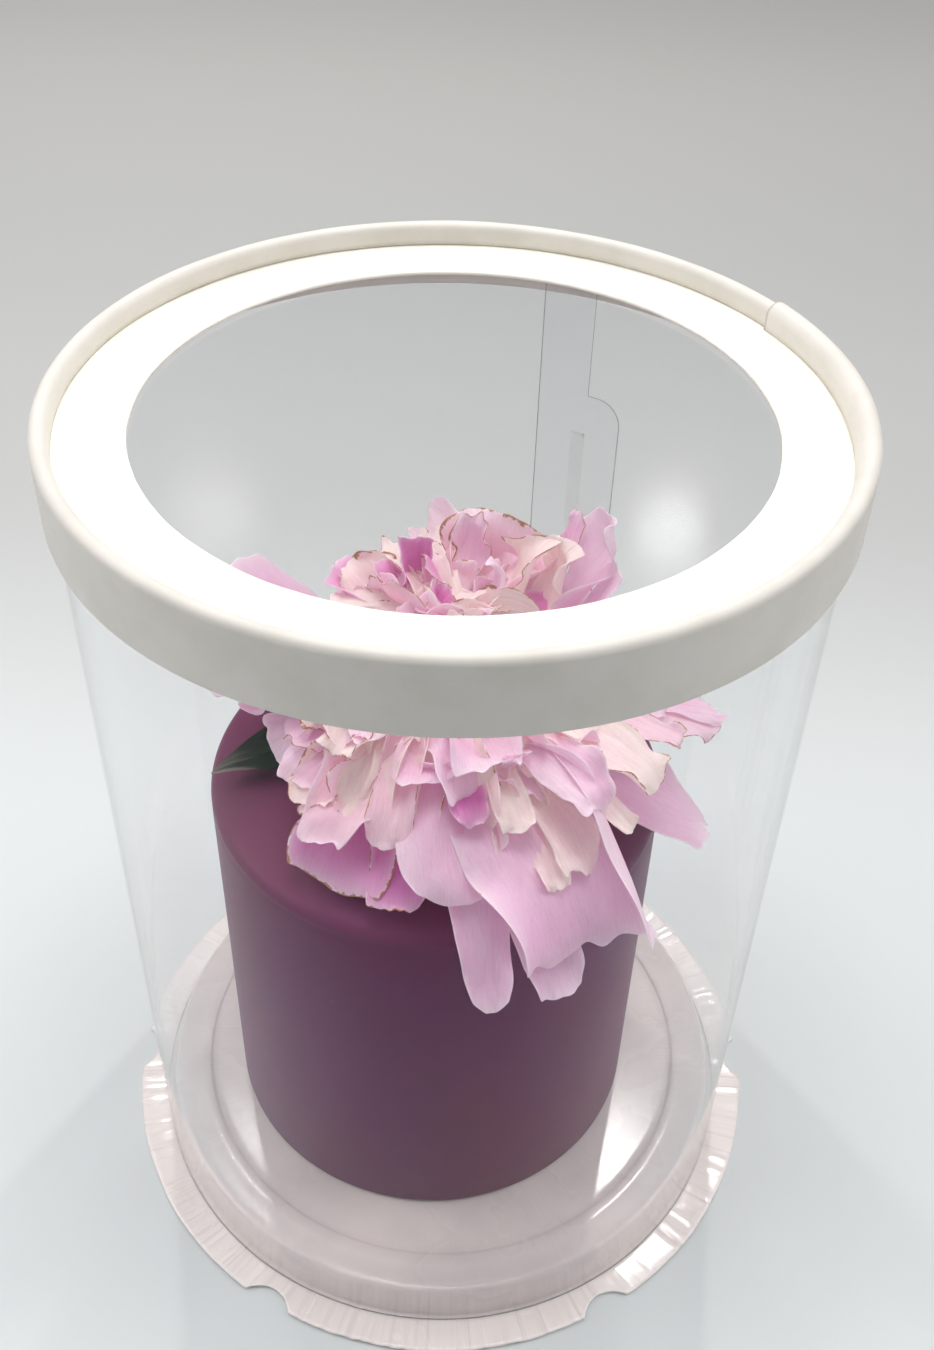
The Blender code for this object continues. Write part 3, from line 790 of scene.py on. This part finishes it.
def petal_mesh(name, root, tip, direction, width, arch, look, seed, cup=30, curl=0, twist=(0, 0),
               ruffle=.10, ragged=.02, claw=.30, full=.72, blunt=1.0, square=.3, taper=0, notch=0,
               fold=None, pleat=.4, flush=.5, dry=0, cells=(24, 19)):
    """A petal from root to tip, as a cupped and ruffled blade with a rounded, ragged end.

    direction is the side it faces. arch is how far its middle bows out over the straight line, curl
    how far its outer two fifths bend on from there (m), twist its roll at root and tip, and cup the
    bend of its section (degrees). claw is the root's share of the width, taper the share lost at
    the tip, full the share of the length where it is widest, blunt the length of the rounded end,
    and square how square that is. ruffle, ragged and notch are the depths of its waves, tears and
    nick as shares of the width, and pleat that of its pleats in mm. fold is the share of the half
    width beyond which its left side is turned over, with the angle. flush is how far up the root's
    colour reaches, dry how readily the rim turns brown, and cells the counts of rows and columns.
    """
    rng = np.random.default_rng(seed)

    # the midline, and the directions ahead, across and outward along it
    root, tip = np.array(root, float), np.array(tip, float)
    away = np.array((math.cos(math.radians(direction)), math.sin(math.radians(direction)), 0.0))
    side = np.array((-away[1], away[0], 0.0))
    chord = tip - root
    bow = np.cross(chord / np.linalg.norm(chord), side)
    bow /= np.linalg.norm(bow)
    t = np.linspace(0, 1, 90)[:, None]
    line = root + chord * t + 4 * arch * bow * t * (1 - t)
    line = line + bow * curl * unit((t - .6) / .4) ** 2
    lengths = np.concatenate([[0], np.cumsum(np.linalg.norm(np.diff(line, axis=0), axis=1))])
    length = lengths[-1]
    tangent = np.gradient(line, axis=0)
    tangent /= np.linalg.norm(tangent, axis=1, keepdims=True)
    across = side - tangent * (tangent @ side)[:, None]
    across /= np.linalg.norm(across, axis=1, keepdims=True)
    normal = np.cross(tangent, across)

    # the outline laid flat: along is measured up the midline and x across it
    rows, columns = cells
    s, v = np.meshgrid(np.linspace(0, 1, rows), np.linspace(-1, 1, columns), indexing="ij")
    cap = min(.5 * length, blunt * width / 2)
    body = length - cap
    split = .62
    end = unit((s - split) / (1 - split))
    round_off = (1 - square) / 2
    along = np.where(s < split, body * s / split, body + cap * end * np.sqrt(1 - round_off * v ** 2))
    spread = claw + (1 - claw) * np.sin(math.pi / 2 * unit(along / length / full)) ** 1.3
    half = width / 2 * spread * (1 - taper * unit(along / length) ** 1.5)
    x = v * np.sqrt(1 - round_off * end ** 2) * half
    rim = np.maximum(end ** 2, np.abs(v) ** 6 * unit(3 * s))
    edge = np.maximum(end ** 1.8, np.abs(v) ** 2.2) * unit(1.6 * along / length)
    across_share, along_share = x / width, along / width

    def uneven(order, waves_across):
        return field(across_share, along_share, seed + order, waves_across)

    fine = uneven(1, 8) + .6 * uneven(7, 19) + .4 * uneven(9, 42)
    along = along + ragged * width * fine * rim * end
    along = along - notch * width * np.exp(-((v - rng.uniform(-.4, .4)) / .14) ** 2) * end ** 2
    x = x * (1 + 1.3 * ragged * uneven(2, 6) * np.abs(v) ** 3)
    u = np.clip(along / length, 0, 1.1)

    # the cross-section: cupped, then folded, ruffled and pleated
    bend = math.radians(cup) * (.35 + .65 * np.sin(math.pi * unit(u) ** .8))
    bend = np.where(np.abs(bend) < 1e-3, 1e-3, bend)
    flat = half * np.sin(bend * x / half) / bend
    lift = half * (1 - np.cos(bend * x / half)) / bend
    if fold:
        over = np.clip(flat - fold[0] * half, 0, None)
        flat = flat - over * (1 - math.cos(math.radians(fold[1])))
        lift = lift + over * math.sin(math.radians(fold[1])) + np.clip(over, 0, 1.2 * MM)
    lift = lift + ruffle * width * edge * uneven(3, 5)
    lift = lift + .45 * ruffle * width * edge ** 2 * uneven(4, 12)
    ray = v * (3.5 + 1.5 * u)
    lift = lift + pleat * MM * waves(ray * 2.6, seed + 5, 3, 1.0) * unit(2 * u)
    lift = lift + .03 * width * uneven(6, 3.5)

    # the blade set on the midline, rolled by the twist
    station = np.clip(along, 0, length)
    past = (along - station)[..., None]
    pick = [np.stack([np.interp(station, lengths, part[:, k]) for k in range(3)], axis=-1)
            for part in (line, tangent, across, normal)]
    middle, ahead, sideways, upwards = pick
    roll = np.radians(twist[0] + (twist[1] - twist[0]) * u)[..., None]
    flat, lift = flat[..., None], lift[..., None]
    lateral = flat * np.cos(roll) - lift * np.sin(roll)
    raised = flat * np.sin(roll) + lift * np.cos(roll)
    mesh = loft(name, middle + ahead * past + sideways * lateral + upwards * raised)

    # the tint, and the grain that the veins follow
    low, mid, high = LOOKS[look] if isinstance(look, str) else look
    color = mixed(mid, low, unit(.3 + .5 * uneven(8, 4)) * .4)
    color = mixed(color, low, unit(1 - u / flush) ** 1.2)
    color = mixed(color, high, unit(rim) ** 1.5 * .85)
    if fold:
        color = mixed(color, high, unit((v - fold[0]) * 12) * .75)
    tint = np.concatenate([color, np.full(u.shape + (1,), dry)], axis=-1)
    thin = np.maximum(end ** 5, np.abs(v) ** 9 * unit(2 * s))
    grain = np.stack([along * 1000, x * 1000 + seed * 7.3, thin], axis=-1)
    paint(mesh, tint, grain)
    return mesh


def mixed(a, b, share):
    share = share[..., None]
    return a * (1 - share) + b * share


def paint(mesh, tint, grain):
    layer = mesh.attributes.new("tint", "FLOAT_COLOR", "POINT")
    layer.data.foreach_set("color", unit(tint).astype(np.float32).ravel())
    layer = mesh.attributes.new("grain", "FLOAT_VECTOR", "POINT")
    layer.data.foreach_set("vector", grain.astype(np.float32).ravel())


def around(direction, reach, height):
    """A point from its direction in degrees, its distance from the stem's axis and its height above
    the petals' root, both in millimetres."""
    a = math.radians(direction)
    return (VASE_AXIS[0] + reach * MM * math.cos(a), VASE_AXIS[1] + reach * MM * math.sin(a),
            ROOT_Z + height * MM)


def grown(name, mesh, material, nodes, thickness):
    """A thin piece of the flower, given its thickness and smoothed."""
    obj = piece(name, mesh, "flower", material, nodes)
    thicken(obj, thickness)
    smooth_once(obj)


def join(name, meshes):
    bm = bmesh.new()
    for mesh in meshes:
        bm.from_mesh(mesh)
        bpy.data.meshes.remove(mesh)
    joined = bpy.data.meshes.new(name)
    bm.to_mesh(joined)
    bm.free()
    joined.shade_smooth()
    return joined


GUARD_REACH = 13                    # the guard petals' roots stand this far from the axis, in mm
# name: tip (direction, reach, height), root height, width, arch (all mm), then petal_mesh's options
GUARDS = {
    "left": ((177, 58, 51), 0, 60, -14, dict(cup=34, ruffle=.05, curl=-.004, look="pale", square=.1)),
    "front_left": ((-115, 68, -16), 1, 36, 6, dict(look="vivid", cup=46, dry=.34, flush=.7,
                                                   twist=(0, 12), square=.5)),
    "front_left_low": ((-99, 71, -14), -4, 19, 12, dict(cup=36, dry=.30, look="vivid", ragged=.05)),
    "front": ((-85, 72, -8), 7, 35, 17, dict(look="pale", cup=-85, twist=(0, -26), square=.1, full=.62,
                                             claw=.25, flush=.8)),
    "tongue_left": ((-79, 90, -34), -5, 26, 17, dict(cup=22, claw=.6, full=.35, taper=.55, blunt=.9)),
    "tongue_right": ((-65, 90, -37), -6, 25, 14, dict(cup=26, claw=.5, full=.5, taper=.3, square=.4)),
    "broad": ((-58, 90, -25), 2, 54, 20, dict(cup=16, blunt=.7, claw=.55, full=.42, fold=(.64, 150),
                                              square=.5, ragged=.05)),
    "right": ((-20, 91, -22), 0, 31, 1, dict(cup=26, twist=(0, -10), notch=.12, square=.4)),
    "right_upper": ((0, 89, -2), 3, 26, 10, dict(cup=34, ragged=.05, dry=.3, look="blush", ruffle=.16)),
    "back_right": ((22, 49, 65), 6, 27, -14, dict(cup=105, ruffle=.26, curl=-.014, look="pale")),
    "back": ((54, 31, 54), 2, 36, -8, dict(cup=80, ruffle=.26, curl=-.012, look="blush", dry=.3)),
    "back_left": ((148, 26, 48), 6, 28, -6, dict(cup=100, ruffle=.22, curl=-.012, look="vivid")),
}

# The inner petals that stand out of the crown: root and tip (direction, reach, height), width and
# arch (mm), look, then petal_mesh's options
FRONT_PETALS = (
    ((-80, 12, 6), (-122, 53, 3), 19, 10, "vivid", dict(cup=60, curl=.004)),
    ((-80, 12, 4), (-83, 48, 26), 20, -12, "pale", dict(cup=50, ruffle=.10, ragged=.05)),
    ((-110, 14, 12), (-79, 62, 13), 11, 5, "vivid", dict(cup=30, blunt=1.6)),
    ((-62, 20, 8), (-63, 53, 28), 10, -8, "pale", dict(cup=70, ruffle=.12)),
    ((-68, 14, 12), (-68, 66, 11), 12, 6, "cream", dict(cup=50, ragged=.05)),
    ((-45, 12, 12), (-70, 74, -4), 11, 6, "cream", dict(ragged=.06, full=.7)),
    ((-40, 12, 12), (-62, 78, -5), 10, 6, "cream", dict(ragged=.06, full=.7)),
    ((-75, 14, 12), (-49, 73, 16), 17, 6, "pale", dict(cup=20, ruffle=.22)),
    ((-42, 14, 12), (-55, 77, -3), 16, 6, "cream", dict(ragged=.08)),
    ((-50, 20, 12), (-42, 77, 1), 8, 6, "cream", dict(cup=60)),
    ((-48, 12, 16), (-36, 57, 20), 14, 4, "cream", dict(cup=40)),
    ((-90, 14, -2), (-73, 79, -5), 12, 6, "pale", dict(ruffle=.10)),
    ((-32, 14, 14), (-32, 78, 11), 18, 7, "cream", dict(ragged=.07, dry=.26)),
    ((-20, 14, 12), (-19, 78, 12), 11, 5, "blush", dict(ragged=.06, dry=.34)),
    ((-13, 14, 12), (-7, 72, 12), 13, 5, "pale", dict(ragged=.05)),
    ((-10, 14, 4), (-1, 91, 2), 9, 6, "pale", dict(blunt=1.4)),
    ((-165, 12, -3), (-179, 67, 14), 42, 12, "pale", dict(cup=-20)),
    ((-160, 12, 6), (177, 68, 12), 20, 8, "vivid", dict(cup=40, claw=.4)),
    ((-150, 12, 8), (-168, 60, 12), 22, 8, "pale", dict(cup=50, ruffle=.24)),
    ((-145, 12, 8), (-153, 56, 6), 19, 7, "pale", dict(cup=60, ruffle=.26)),
    ((-150, 14, 6), (-150, 47, -1), 9, 5, "pale", dict(cup=60)),
    ((-140, 14, 6), (-133, 43, 2), 12, 5, "pale", dict(cup=60)),
    ((-152, 25, 0), (-155, 42, 15), 6, -5, "pale", dict(cup=20)),
    ((-150, 20, 8), (-129, 38, 8), 10, 4, "pale", dict(cup=30)),
    ((-102, 12, 10), (-121, 46, 4), 18, 7, "vivid", dict(ragged=.06)),
    ((-110, 10, 12), (-132, 37, 12), 18, 6, "vivid", {}),
    ((-80, 10, 16), (-95, 37, 18), 16, 5, "blush", {}),
    ((-60, 10, 16), (-63, 46, 23), 16, 4, "cream", {}),
    ((-45, 12, 16), (-53, 54, 16), 16, 6, "cream", {}),
    ((170, 5, 14), (118, 17, 59), 14, -3, "vivid", dict(cup=85, ruffle=.24)),
    ((180, 8, 14), (139, 21, 48), 16, -4, "vivid", dict(cup=90, ruffle=.24)),
    ((60, 6, 14), (64, 25, 61), 13, -5, "pale", dict(dry=.36, cup=85, ruffle=.36, ragged=.08)),
    ((-10, 10, 14), (32, 31, 56), 19, -5, "cream", dict(dry=.3, cup=70, ruffle=.28)),
    ((-5, 16, 14), (23, 42, 55), 15, -5, "cream", dict(cup=80, ruffle=.26)),
    ((10, 14, 14), (30, 49, 61), 8, -6, "guard", dict(dry=.36)),
    ((0, 16, 14), (12, 55, 50), 11, -6, "pale", dict(ruffle=.1)),
)


def build_guards(material):
    for order, (name, (tip, rise, width, arch, options)) in enumerate(GUARDS.items()):
        options = dict({"look": "guard", "pleat": .16}, **options)
        mesh = petal_mesh("petal_" + name, around(tip[0], GUARD_REACH, rise), around(*tip), tip[0],
                          width * MM, arch * MM, seed=100 + order * 13, cells=(34, 25), **options)
        grown("petal_" + name, mesh, material, ["guard_petal_" + name], GUARD_T)


def build_front(material):
    parts = []
    for order, (root, tip, width, arch, look, options) in enumerate(FRONT_PETALS):
        options = dict(dict(ruffle=.17, ragged=.045, pleat=.3, square=.4), **options)
        parts.append(petal_mesh(f"front_{order}", around(*root), around(*tip), tip[0], width * MM,
                                arch * MM, look, 500 + order * 11, **options))
    mesh = join("inner_petals_front", parts)
    grown("inner_petals_front", mesh, material, (), INNER_T)


# The ruff of crumpled petals under the crown's open front: count, reach, height (mm), first direction
RUFF = ((12, 63, 2, -136), (15, 56, 12, -154), (15, 46, 22, -170))
RUFF_TO = 12                        # the direction in degrees at which its rows end


def build_ruff(material):
    """Rows of small crumpled petals that spill over the guard petals, pinker to the left."""
    rng = np.random.default_rng(19)
    parts = []
    for row, (count, reach, height, first) in enumerate(RUFF):
        for k in range(count):
            share = (k + .5 + rng.uniform(-.35, .35)) / count
            direction = first + (RUFF_TO - first) * share
            pink = .62 - .55 * share
            look = rng.choice(["vivid", "pale", "blush", "cream"],
                              p=[pink * .3, pink * .7, (1 - pink) * .35, (1 - pink) * .65])
            tip = around(direction, reach * rng.uniform(.86, 1.08), height + rng.uniform(-5, 6))
            parts.append(petal_mesh(
                f"ruff_{row}_{k}", around(direction * .8 - 14, rng.uniform(8, 18), rng.uniform(6, 14)), tip,
                direction + rng.uniform(-30, 30), rng.uniform(13, 25) * MM, rng.uniform(3, 13) * MM, look,
                700 + row * 40 + k, cup=rng.uniform(20, 75), curl=rng.uniform(-.010, .010),
                twist=(0, rng.uniform(-45, 45)), ruffle=rng.uniform(.14, .28), ragged=rng.uniform(.03, .07),
                square=rng.uniform(.0, .6), pleat=.3, flush=rng.uniform(.3, .55),
                dry=rng.choice([0, 0, 0, .26]),
            ))
    mesh = join("inner_petals_ruff", parts)
    grown("inner_petals_ruff", mesh, material, (), INNER_T)


# The crown of inner petals: count, lean from the bloom's axis in degrees, length, width, arch (mm)
RINGS = (
    (7, 10, 31, 14, 4),
    (11, 24, 33, 16, 6),
    (14, 38, 36, 17, 8),
    (16, 52, 40, 18, 9),
    (17, 66, 45, 19, 10),
    (15, 80, 48, 20, 11),
)
BLOOM_NOD = math.radians(22)
BLOOM_NOD_TOWARDS = math.radians(-72)
HEART_HEIGHT = 12                   # the rings spring from here, mm over the petals' root
HEART_R = 6                         # and start this far out, mm
LOWEST_AIM = -0.16                  # petals point down no more than this, clear of the vase


def nodded(direction, lean):
    """The unit vector at a direction and a lean from the bloom's axis, which nods to the front."""
    a, b = math.radians(direction) - BLOOM_NOD_TOWARDS, math.radians(lean)
    x, y, z = math.sin(b) * math.cos(a), math.sin(b) * math.sin(a), math.cos(b)
    x, z = (x * math.cos(BLOOM_NOD) + z * math.sin(BLOOM_NOD),
            z * math.cos(BLOOM_NOD) - x * math.sin(BLOOM_NOD))
    cos, sin = math.cos(BLOOM_NOD_TOWARDS), math.sin(BLOOM_NOD_TOWARDS)
    return np.array((x * cos - y * sin, x * sin + y * cos, z))


def build_crown(material):
    """Rings of crowded ragged inner petals round the nodding bloom's axis, each ring one piece."""
    rng = np.random.default_rng(7)
    heart = np.array(around(0, 0, HEART_HEIGHT))
    for ring, (count, lean, length, width, arch) in enumerate(RINGS):
        parts = []
        for k in range(count):
            direction = 360 * (k + rng.uniform(-.3, .3)) / count + ring * 37
            aim = nodded(direction, lean + rng.uniform(-8, 8))
            aim[2] = max(aim[2], LOWEST_AIM)
            reach = length * rng.uniform(.84, 1.12)
            look = rng.choice(["cream", "blush", "pale", "vivid"], p=[.30, .34, .22, .14])
            parts.append(petal_mesh(
                f"crown_{ring}_{k}", heart + aim * HEART_R * MM, heart + aim * reach * MM,
                math.degrees(math.atan2(aim[1], aim[0])), width * rng.uniform(.8, 1.2) * MM,
                arch * rng.uniform(.4, 1.5) * MM, look, 1000 + ring * 100 + k,
                cup=rng.uniform(25, 105), curl=rng.uniform(-.012, .010), twist=(0, rng.uniform(-60, 60)),
                ruffle=rng.uniform(.14, .32), ragged=rng.uniform(.04, .09), claw=.4,
                square=rng.uniform(.2, .6), pleat=.4, flush=rng.uniform(.3, .5),
                dry=rng.choice([0, 0, 0, .2, .3]),
            ))
        nodes = ["flower_core"] if ring == 0 else []
        name = f"inner_petals_{ring + 1}"
        grown(name, join(name, parts), material, nodes, INNER_T)


LEAF_DIRECTION = 192
LEAF_ROOT = (15, -7.5)              # reach and height in mm


def build_leaf(material):
    """Pointed leaf lying out over the vase's left shoulder, with midrib, veins and a dried tip."""
    length, width = 58 * MM, 26 * MM
    rows, columns = 44, 25
    u, v = np.meshgrid(np.linspace(0, 1, rows), np.linspace(-1, 1, columns), indexing="ij")
    half = width / 2 * np.sin(math.pi * u ** 0.78) ** 0.85 * (1 - .25 * u) + .7 * MM * (1 - u)
    heading = np.radians(12 - 38 * u)
    step = length / (rows - 1)
    out = np.cumsum(np.cos(heading), axis=0) * step
    up = np.cumsum(np.sin(heading), axis=0) * step
    lift = 0.16 * half * np.abs(v) ** 1.4 + 0.8 * MM * waves(u * 5 + np.sign(v), 71, 3, 2.0) * np.abs(v) ** 2
    vein_at = (u * 11 - np.abs(v) * 2.2) % 1.0
    side_vein = np.exp(-((vein_at - .5) / .10) ** 2) * (np.abs(v) < .93)
    midrib = np.exp(-(v / .06) ** 2)
    lift = lift - 0.22 * MM * side_vein - 0.45 * MM * midrib
    points = np.stack([out - lift * np.sin(heading), half * v, up + lift * np.cos(heading)], axis=-1)
    mesh = loft("leaf", points)
    green = tone(14, 34, 24)
    light = tone(44, 74, 52)
    dried = tone(150, 138, 128)
    color = mixed(green, light, unit(0.5 * side_vein + 0.9 * midrib) * .55)
    spot = waves(u * 9 + v * 4, 73, 3, 1.0) * .45 + (u - .78) * 3.2 + .25 * v
    color = mixed(color, dried, unit(spot))
    tint = np.concatenate([color, np.zeros(u.shape + (1,))], axis=-1)
    grain = np.stack([u * length * 1000, half * v * 1000, np.abs(v) ** 8], axis=-1)
    paint(mesh, tint, grain)
    turn = Matrix.Rotation(math.radians(LEAF_DIRECTION), 4, "Z")
    mesh.transform(Matrix.Translation(around(LEAF_DIRECTION, *LEAF_ROOT)) @ turn)
    grown("leaf", mesh, material, ["leaf_left"], LEAF_T)


STEM_R = 3.4 * MM
STEM_LEAN = 12 * MM                 # how far the stem's foot stands off the vase's axis


def build_stem(material):
    """Stem as a smooth bent tube, standing in the vase."""
    axis = Vector((VASE_AXIS[0], VASE_AXIS[1], 0))
    foot = STEM_FOOT + 0.5 * MM
    head = CALYX_LOW[2]
    rows = np.linspace(0, 1, 40)
    a = circle(20)
    points = np.zeros((len(rows) + 2, len(a), 3))
    for index, share in enumerate(np.concatenate([[0], rows, [1]])):
        size = STEM_R * (0.001 if index in (0, len(rows) + 1) else 1 + 0.05 * math.sin(index * 1.7))
        offset = STEM_LEAN * (1 - share) ** 2
        points[index, :, 0] = axis.x + offset + size * np.cos(a)
        points[index, :, 1] = axis.y + 0.6 * offset + size * np.sin(a)
        points[index, :, 2] = foot + (head - foot) * share
    mesh = loft("stem", points, wrap_columns=True, weld=1e-5)
    piece("stem", outward(mesh), "flower", material, ["flower_stem"])


def build_calyx(cup_material, leaf):
    """Green cup under the petals with five blunt sepals."""
    z = CALYX_LOW[2]
    top = CALYX_HIGH[2]
    r = (CALYX_HIGH[0] - CALYX_LOW[0]) / 2
    profile = densify([(0.0, top), (r * .7, top), (r, z + 15 * MM), (r, z + 9 * MM),
                       (r * .72, z + 3 * MM), (0.0, z)], 1.5 * MM)
    turned_piece("calyx_cup", profile, circle(40), "flower", cup_material, "flower_calyx",
                 lambda r, z, a: (r * (1 + .04 * np.sin(5 * a)), z), VASE_AXIS[:2])
    green = tone(96, 116, 70)
    foot = (z - ROOT_Z) / MM
    for k in range(5):
        direction = 72 * k + 20
        mesh = petal_mesh(f"sepal_{k + 1}", around(direction, 9, foot + 7), around(direction, 31, foot + 7),
                          direction, 17 * MM, 3 * MM, (green, green, green), 300 + k, cells=(12, 9))
        grown(f"sepal_{k + 1}", mesh, leaf, (), SEPAL_T)


# ---------------------------------------------------------------- stage, light and camera


def floor_material():
    """Pale floor painted with light and shade: light close by, greyer behind the box, light again far back,
    and a little darker to the right.
    """
    r = Recipe("floor_look")
    parts = r.split(r.place())
    # painted light and shade: the floor's tone changes front to back and side to side in place of the
    # light's falloff
    color = r.blend(r.ramp(parts[1], 0.02, 0.42), rgb(217, 221, 221), rgb(187, 187, 186))
    color = r.blend(r.ramp(parts[1], 0.62, 1.25), color, rgb(205, 203, 199))
    side = r.ramp(parts[0], -0.5, 0.5)
    color = r.blend(side, color, r.blend(1.0, color, (0.90, 0.90, 0.90, 1.0), "MULTIPLY"))
    shader = r.add("BsdfDiffuse", {"Color": color})
    return r.surface(shader.outputs[0])


def build_stage():
    bm = bmesh.new()
    bmesh.ops.create_grid(bm, x_segments=1, y_segments=1, size=30.0)
    mesh = bpy.data.meshes.new("floor")
    bm.to_mesh(mesh)
    bm.free()
    floor = bpy.data.objects.new("floor", mesh)
    bpy.context.scene.collection.objects.link(floor)
    mesh.materials.append(floor_material())


def area_light(name, location, target, size, power, color):
    data = bpy.data.lights.new(name, "AREA")
    data.shape = "ELLIPSE"
    data.size, data.size_y = size
    data.energy = power
    data.color = color
    light = bpy.data.objects.new(name, data)
    light.location = location
    aim = Vector(target) - Vector(location)
    light.rotation_euler = aim.to_track_quat("-Z", "Y").to_euler()
    bpy.context.scene.collection.objects.link(light)


# name: place, aim (m), size (m), power (W), colour
LAMPS = {
    "lamp_left": ((-0.215, 0.50, 1.05), (0, 0, 0), (0.022, 0.20), 1.5, (1.0, 0.985, 0.96)),
    "lamp_right": ((0.19, 0.54, 1.05), (0, 0, 0), (0.022, 0.15), 1.6, (1.0, 0.985, 0.96)),
    "glint_left": ((-0.28, 1.05, 1.05), (0, 0, 0.29), (0.10, 0.10), 0.05, (1.0, 1.0, 1.0)),
    "glint_right": ((0.25, 1.03, 1.05), (0, 0, 0.29), (0.08, 0.08), 0.10, (1.0, 1.0, 1.0)),
    "lamp_top": ((0.0, 0.05, 1.7), (0, 0, 0), (0.7, 0.7), 9.0, (1.0, 0.99, 0.98)),
    "tent_left": ((-1.3, 0.05, 1.0), (0, 0, 0.1), (0.8, 1.2), 8.0, (1.0, 0.99, 0.99)),
    "tent_right": ((1.3, 0.05, 1.0), (0, 0, 0.1), (0.8, 1.2), 8.0, (1.0, 0.99, 0.98)),
    "lamp_front": ((0.0, -0.7, 2.0), (0, 0, 0.1), (1.2, 0.6), 1.4, (1.0, 0.99, 0.98)),
}
SKY_LOW, SKY_HIGH, SKY_SEEN = 0.05, 0.66, 0.60   # strength at the horizon, overhead, and to the eye


def build_lights():
    """A white tent with two strip lamps and two glints behind, and soft lamps above and round it."""
    for name, settings in LAMPS.items():
        area_light(name, *settings)
    world = bpy.data.worlds.new("tent")
    bpy.context.scene.world = world
    world.use_nodes = True
    tree = world.node_tree
    shade = tree.nodes["Background"]
    place = tree.nodes.new("ShaderNodeTexCoord")
    split = tree.nodes.new("ShaderNodeSeparateXYZ")
    tree.links.new(place.outputs["Generated"], split.inputs[0])
    rise = tree.nodes.new("ShaderNodeMapRange")
    rise.interpolation_type = "SMOOTHSTEP"
    for socket, value in (("From Min", 0.0), ("From Max", 0.9), ("To Min", SKY_LOW), ("To Max", SKY_HIGH)):
        rise.inputs[socket].default_value = value
    tree.links.new(split.outputs[2], rise.inputs["Value"])
    path = tree.nodes.new("ShaderNodeLightPath")
    seen = tree.nodes.new("ShaderNodeMix")
    seen.inputs["B"].default_value = SKY_SEEN
    tree.links.new(path.outputs["Is Camera Ray"], seen.inputs["Factor"])
    tree.links.new(rise.outputs[0], seen.inputs["A"])
    tree.links.new(seen.outputs["Result"], shade.inputs["Strength"])
    shade.inputs["Color"].default_value = (0.95, 0.97, 1.0, 1.0)


CAMERA_BACK = 3.0239 * LID_R        # in front of the box's axis
CAMERA_UP = 4.4419 * LID_R          # over the floor
LOOK_DOWN, LOOK_RIGHT, ROLL = 0.7129, 0.0155, 0.0319   # radians
LENS = 38.04267                     # mm, on a sensor 36 mm high


def build_camera():
    """Looks down at the box from the front, turned and rolled a little to the right."""
    level = math.cos(LOOK_DOWN)
    forward = Vector((math.sin(LOOK_RIGHT) * level, math.cos(LOOK_RIGHT) * level, -math.sin(LOOK_DOWN)))
    right = forward.cross(Vector((0, 0, 1))).normalized()
    up = right.cross(forward)
    tilted = right * math.cos(ROLL) + up * math.sin(ROLL)
    top = up * math.cos(ROLL) - right * math.sin(ROLL)
    turn = Matrix((tilted, top, -forward)).transposed().to_4x4()
    data = bpy.data.cameras.new("camera")
    data.sensor_width = 36.0
    data.lens = LENS
    data.clip_start = 0.01
    camera = bpy.data.objects.new("camera", data)
    camera.matrix_world = Matrix.Translation((0, -CAMERA_BACK, CAMERA_UP)) @ turn
    bpy.context.scene.collection.objects.link(camera)
    bpy.context.scene.camera = camera


def build():
    # the band is the same white card as the ring, painted greyer: painted shade on the band
    band = card_material("band_card_painted_shade_look", rgb(220, 215, 208), rgb(213, 208, 200), 0.40, LAP_AT)
    card = card_material("white_card_look", rgb(247, 244, 234), rgb(243, 240, 228), 0.42)
    clear = clear_material("clear_sheet_look", (0.978, 0.980, 0.983, 1.0), 0.002, 0.001)
    film = clear_material("clear_film_look", (0.99, 0.99, 0.992, 1.0), 0.002, 0.022, 0.12)
    tape = clear_material("clear_tape_look", (0.99, 0.99, 0.99, 1.0), 0.10)
    petal = petal_material()
    leaf = leaf_material()
    stem = stem_material()
    build_tray(pearl_material())
    build_tube(clear)
    build_tape(tape)
    build_band(band)
    build_ring(card)
    build_window(film)
    build_vase(plum_material())
    build_stem(stem)
    build_calyx(stem, leaf)
    build_guards(petal)
    build_front(petal)
    build_ruff(petal)
    build_crown(petal)
    build_leaf(leaf)
    build_stage()
    build_lights()
    build_camera()
    scene = bpy.context.scene
    scene.view_settings.view_transform = "Standard"
    scene.cycles.transparent_max_bounces = 24
    scene.cycles.diffuse_bounces = 8


build()
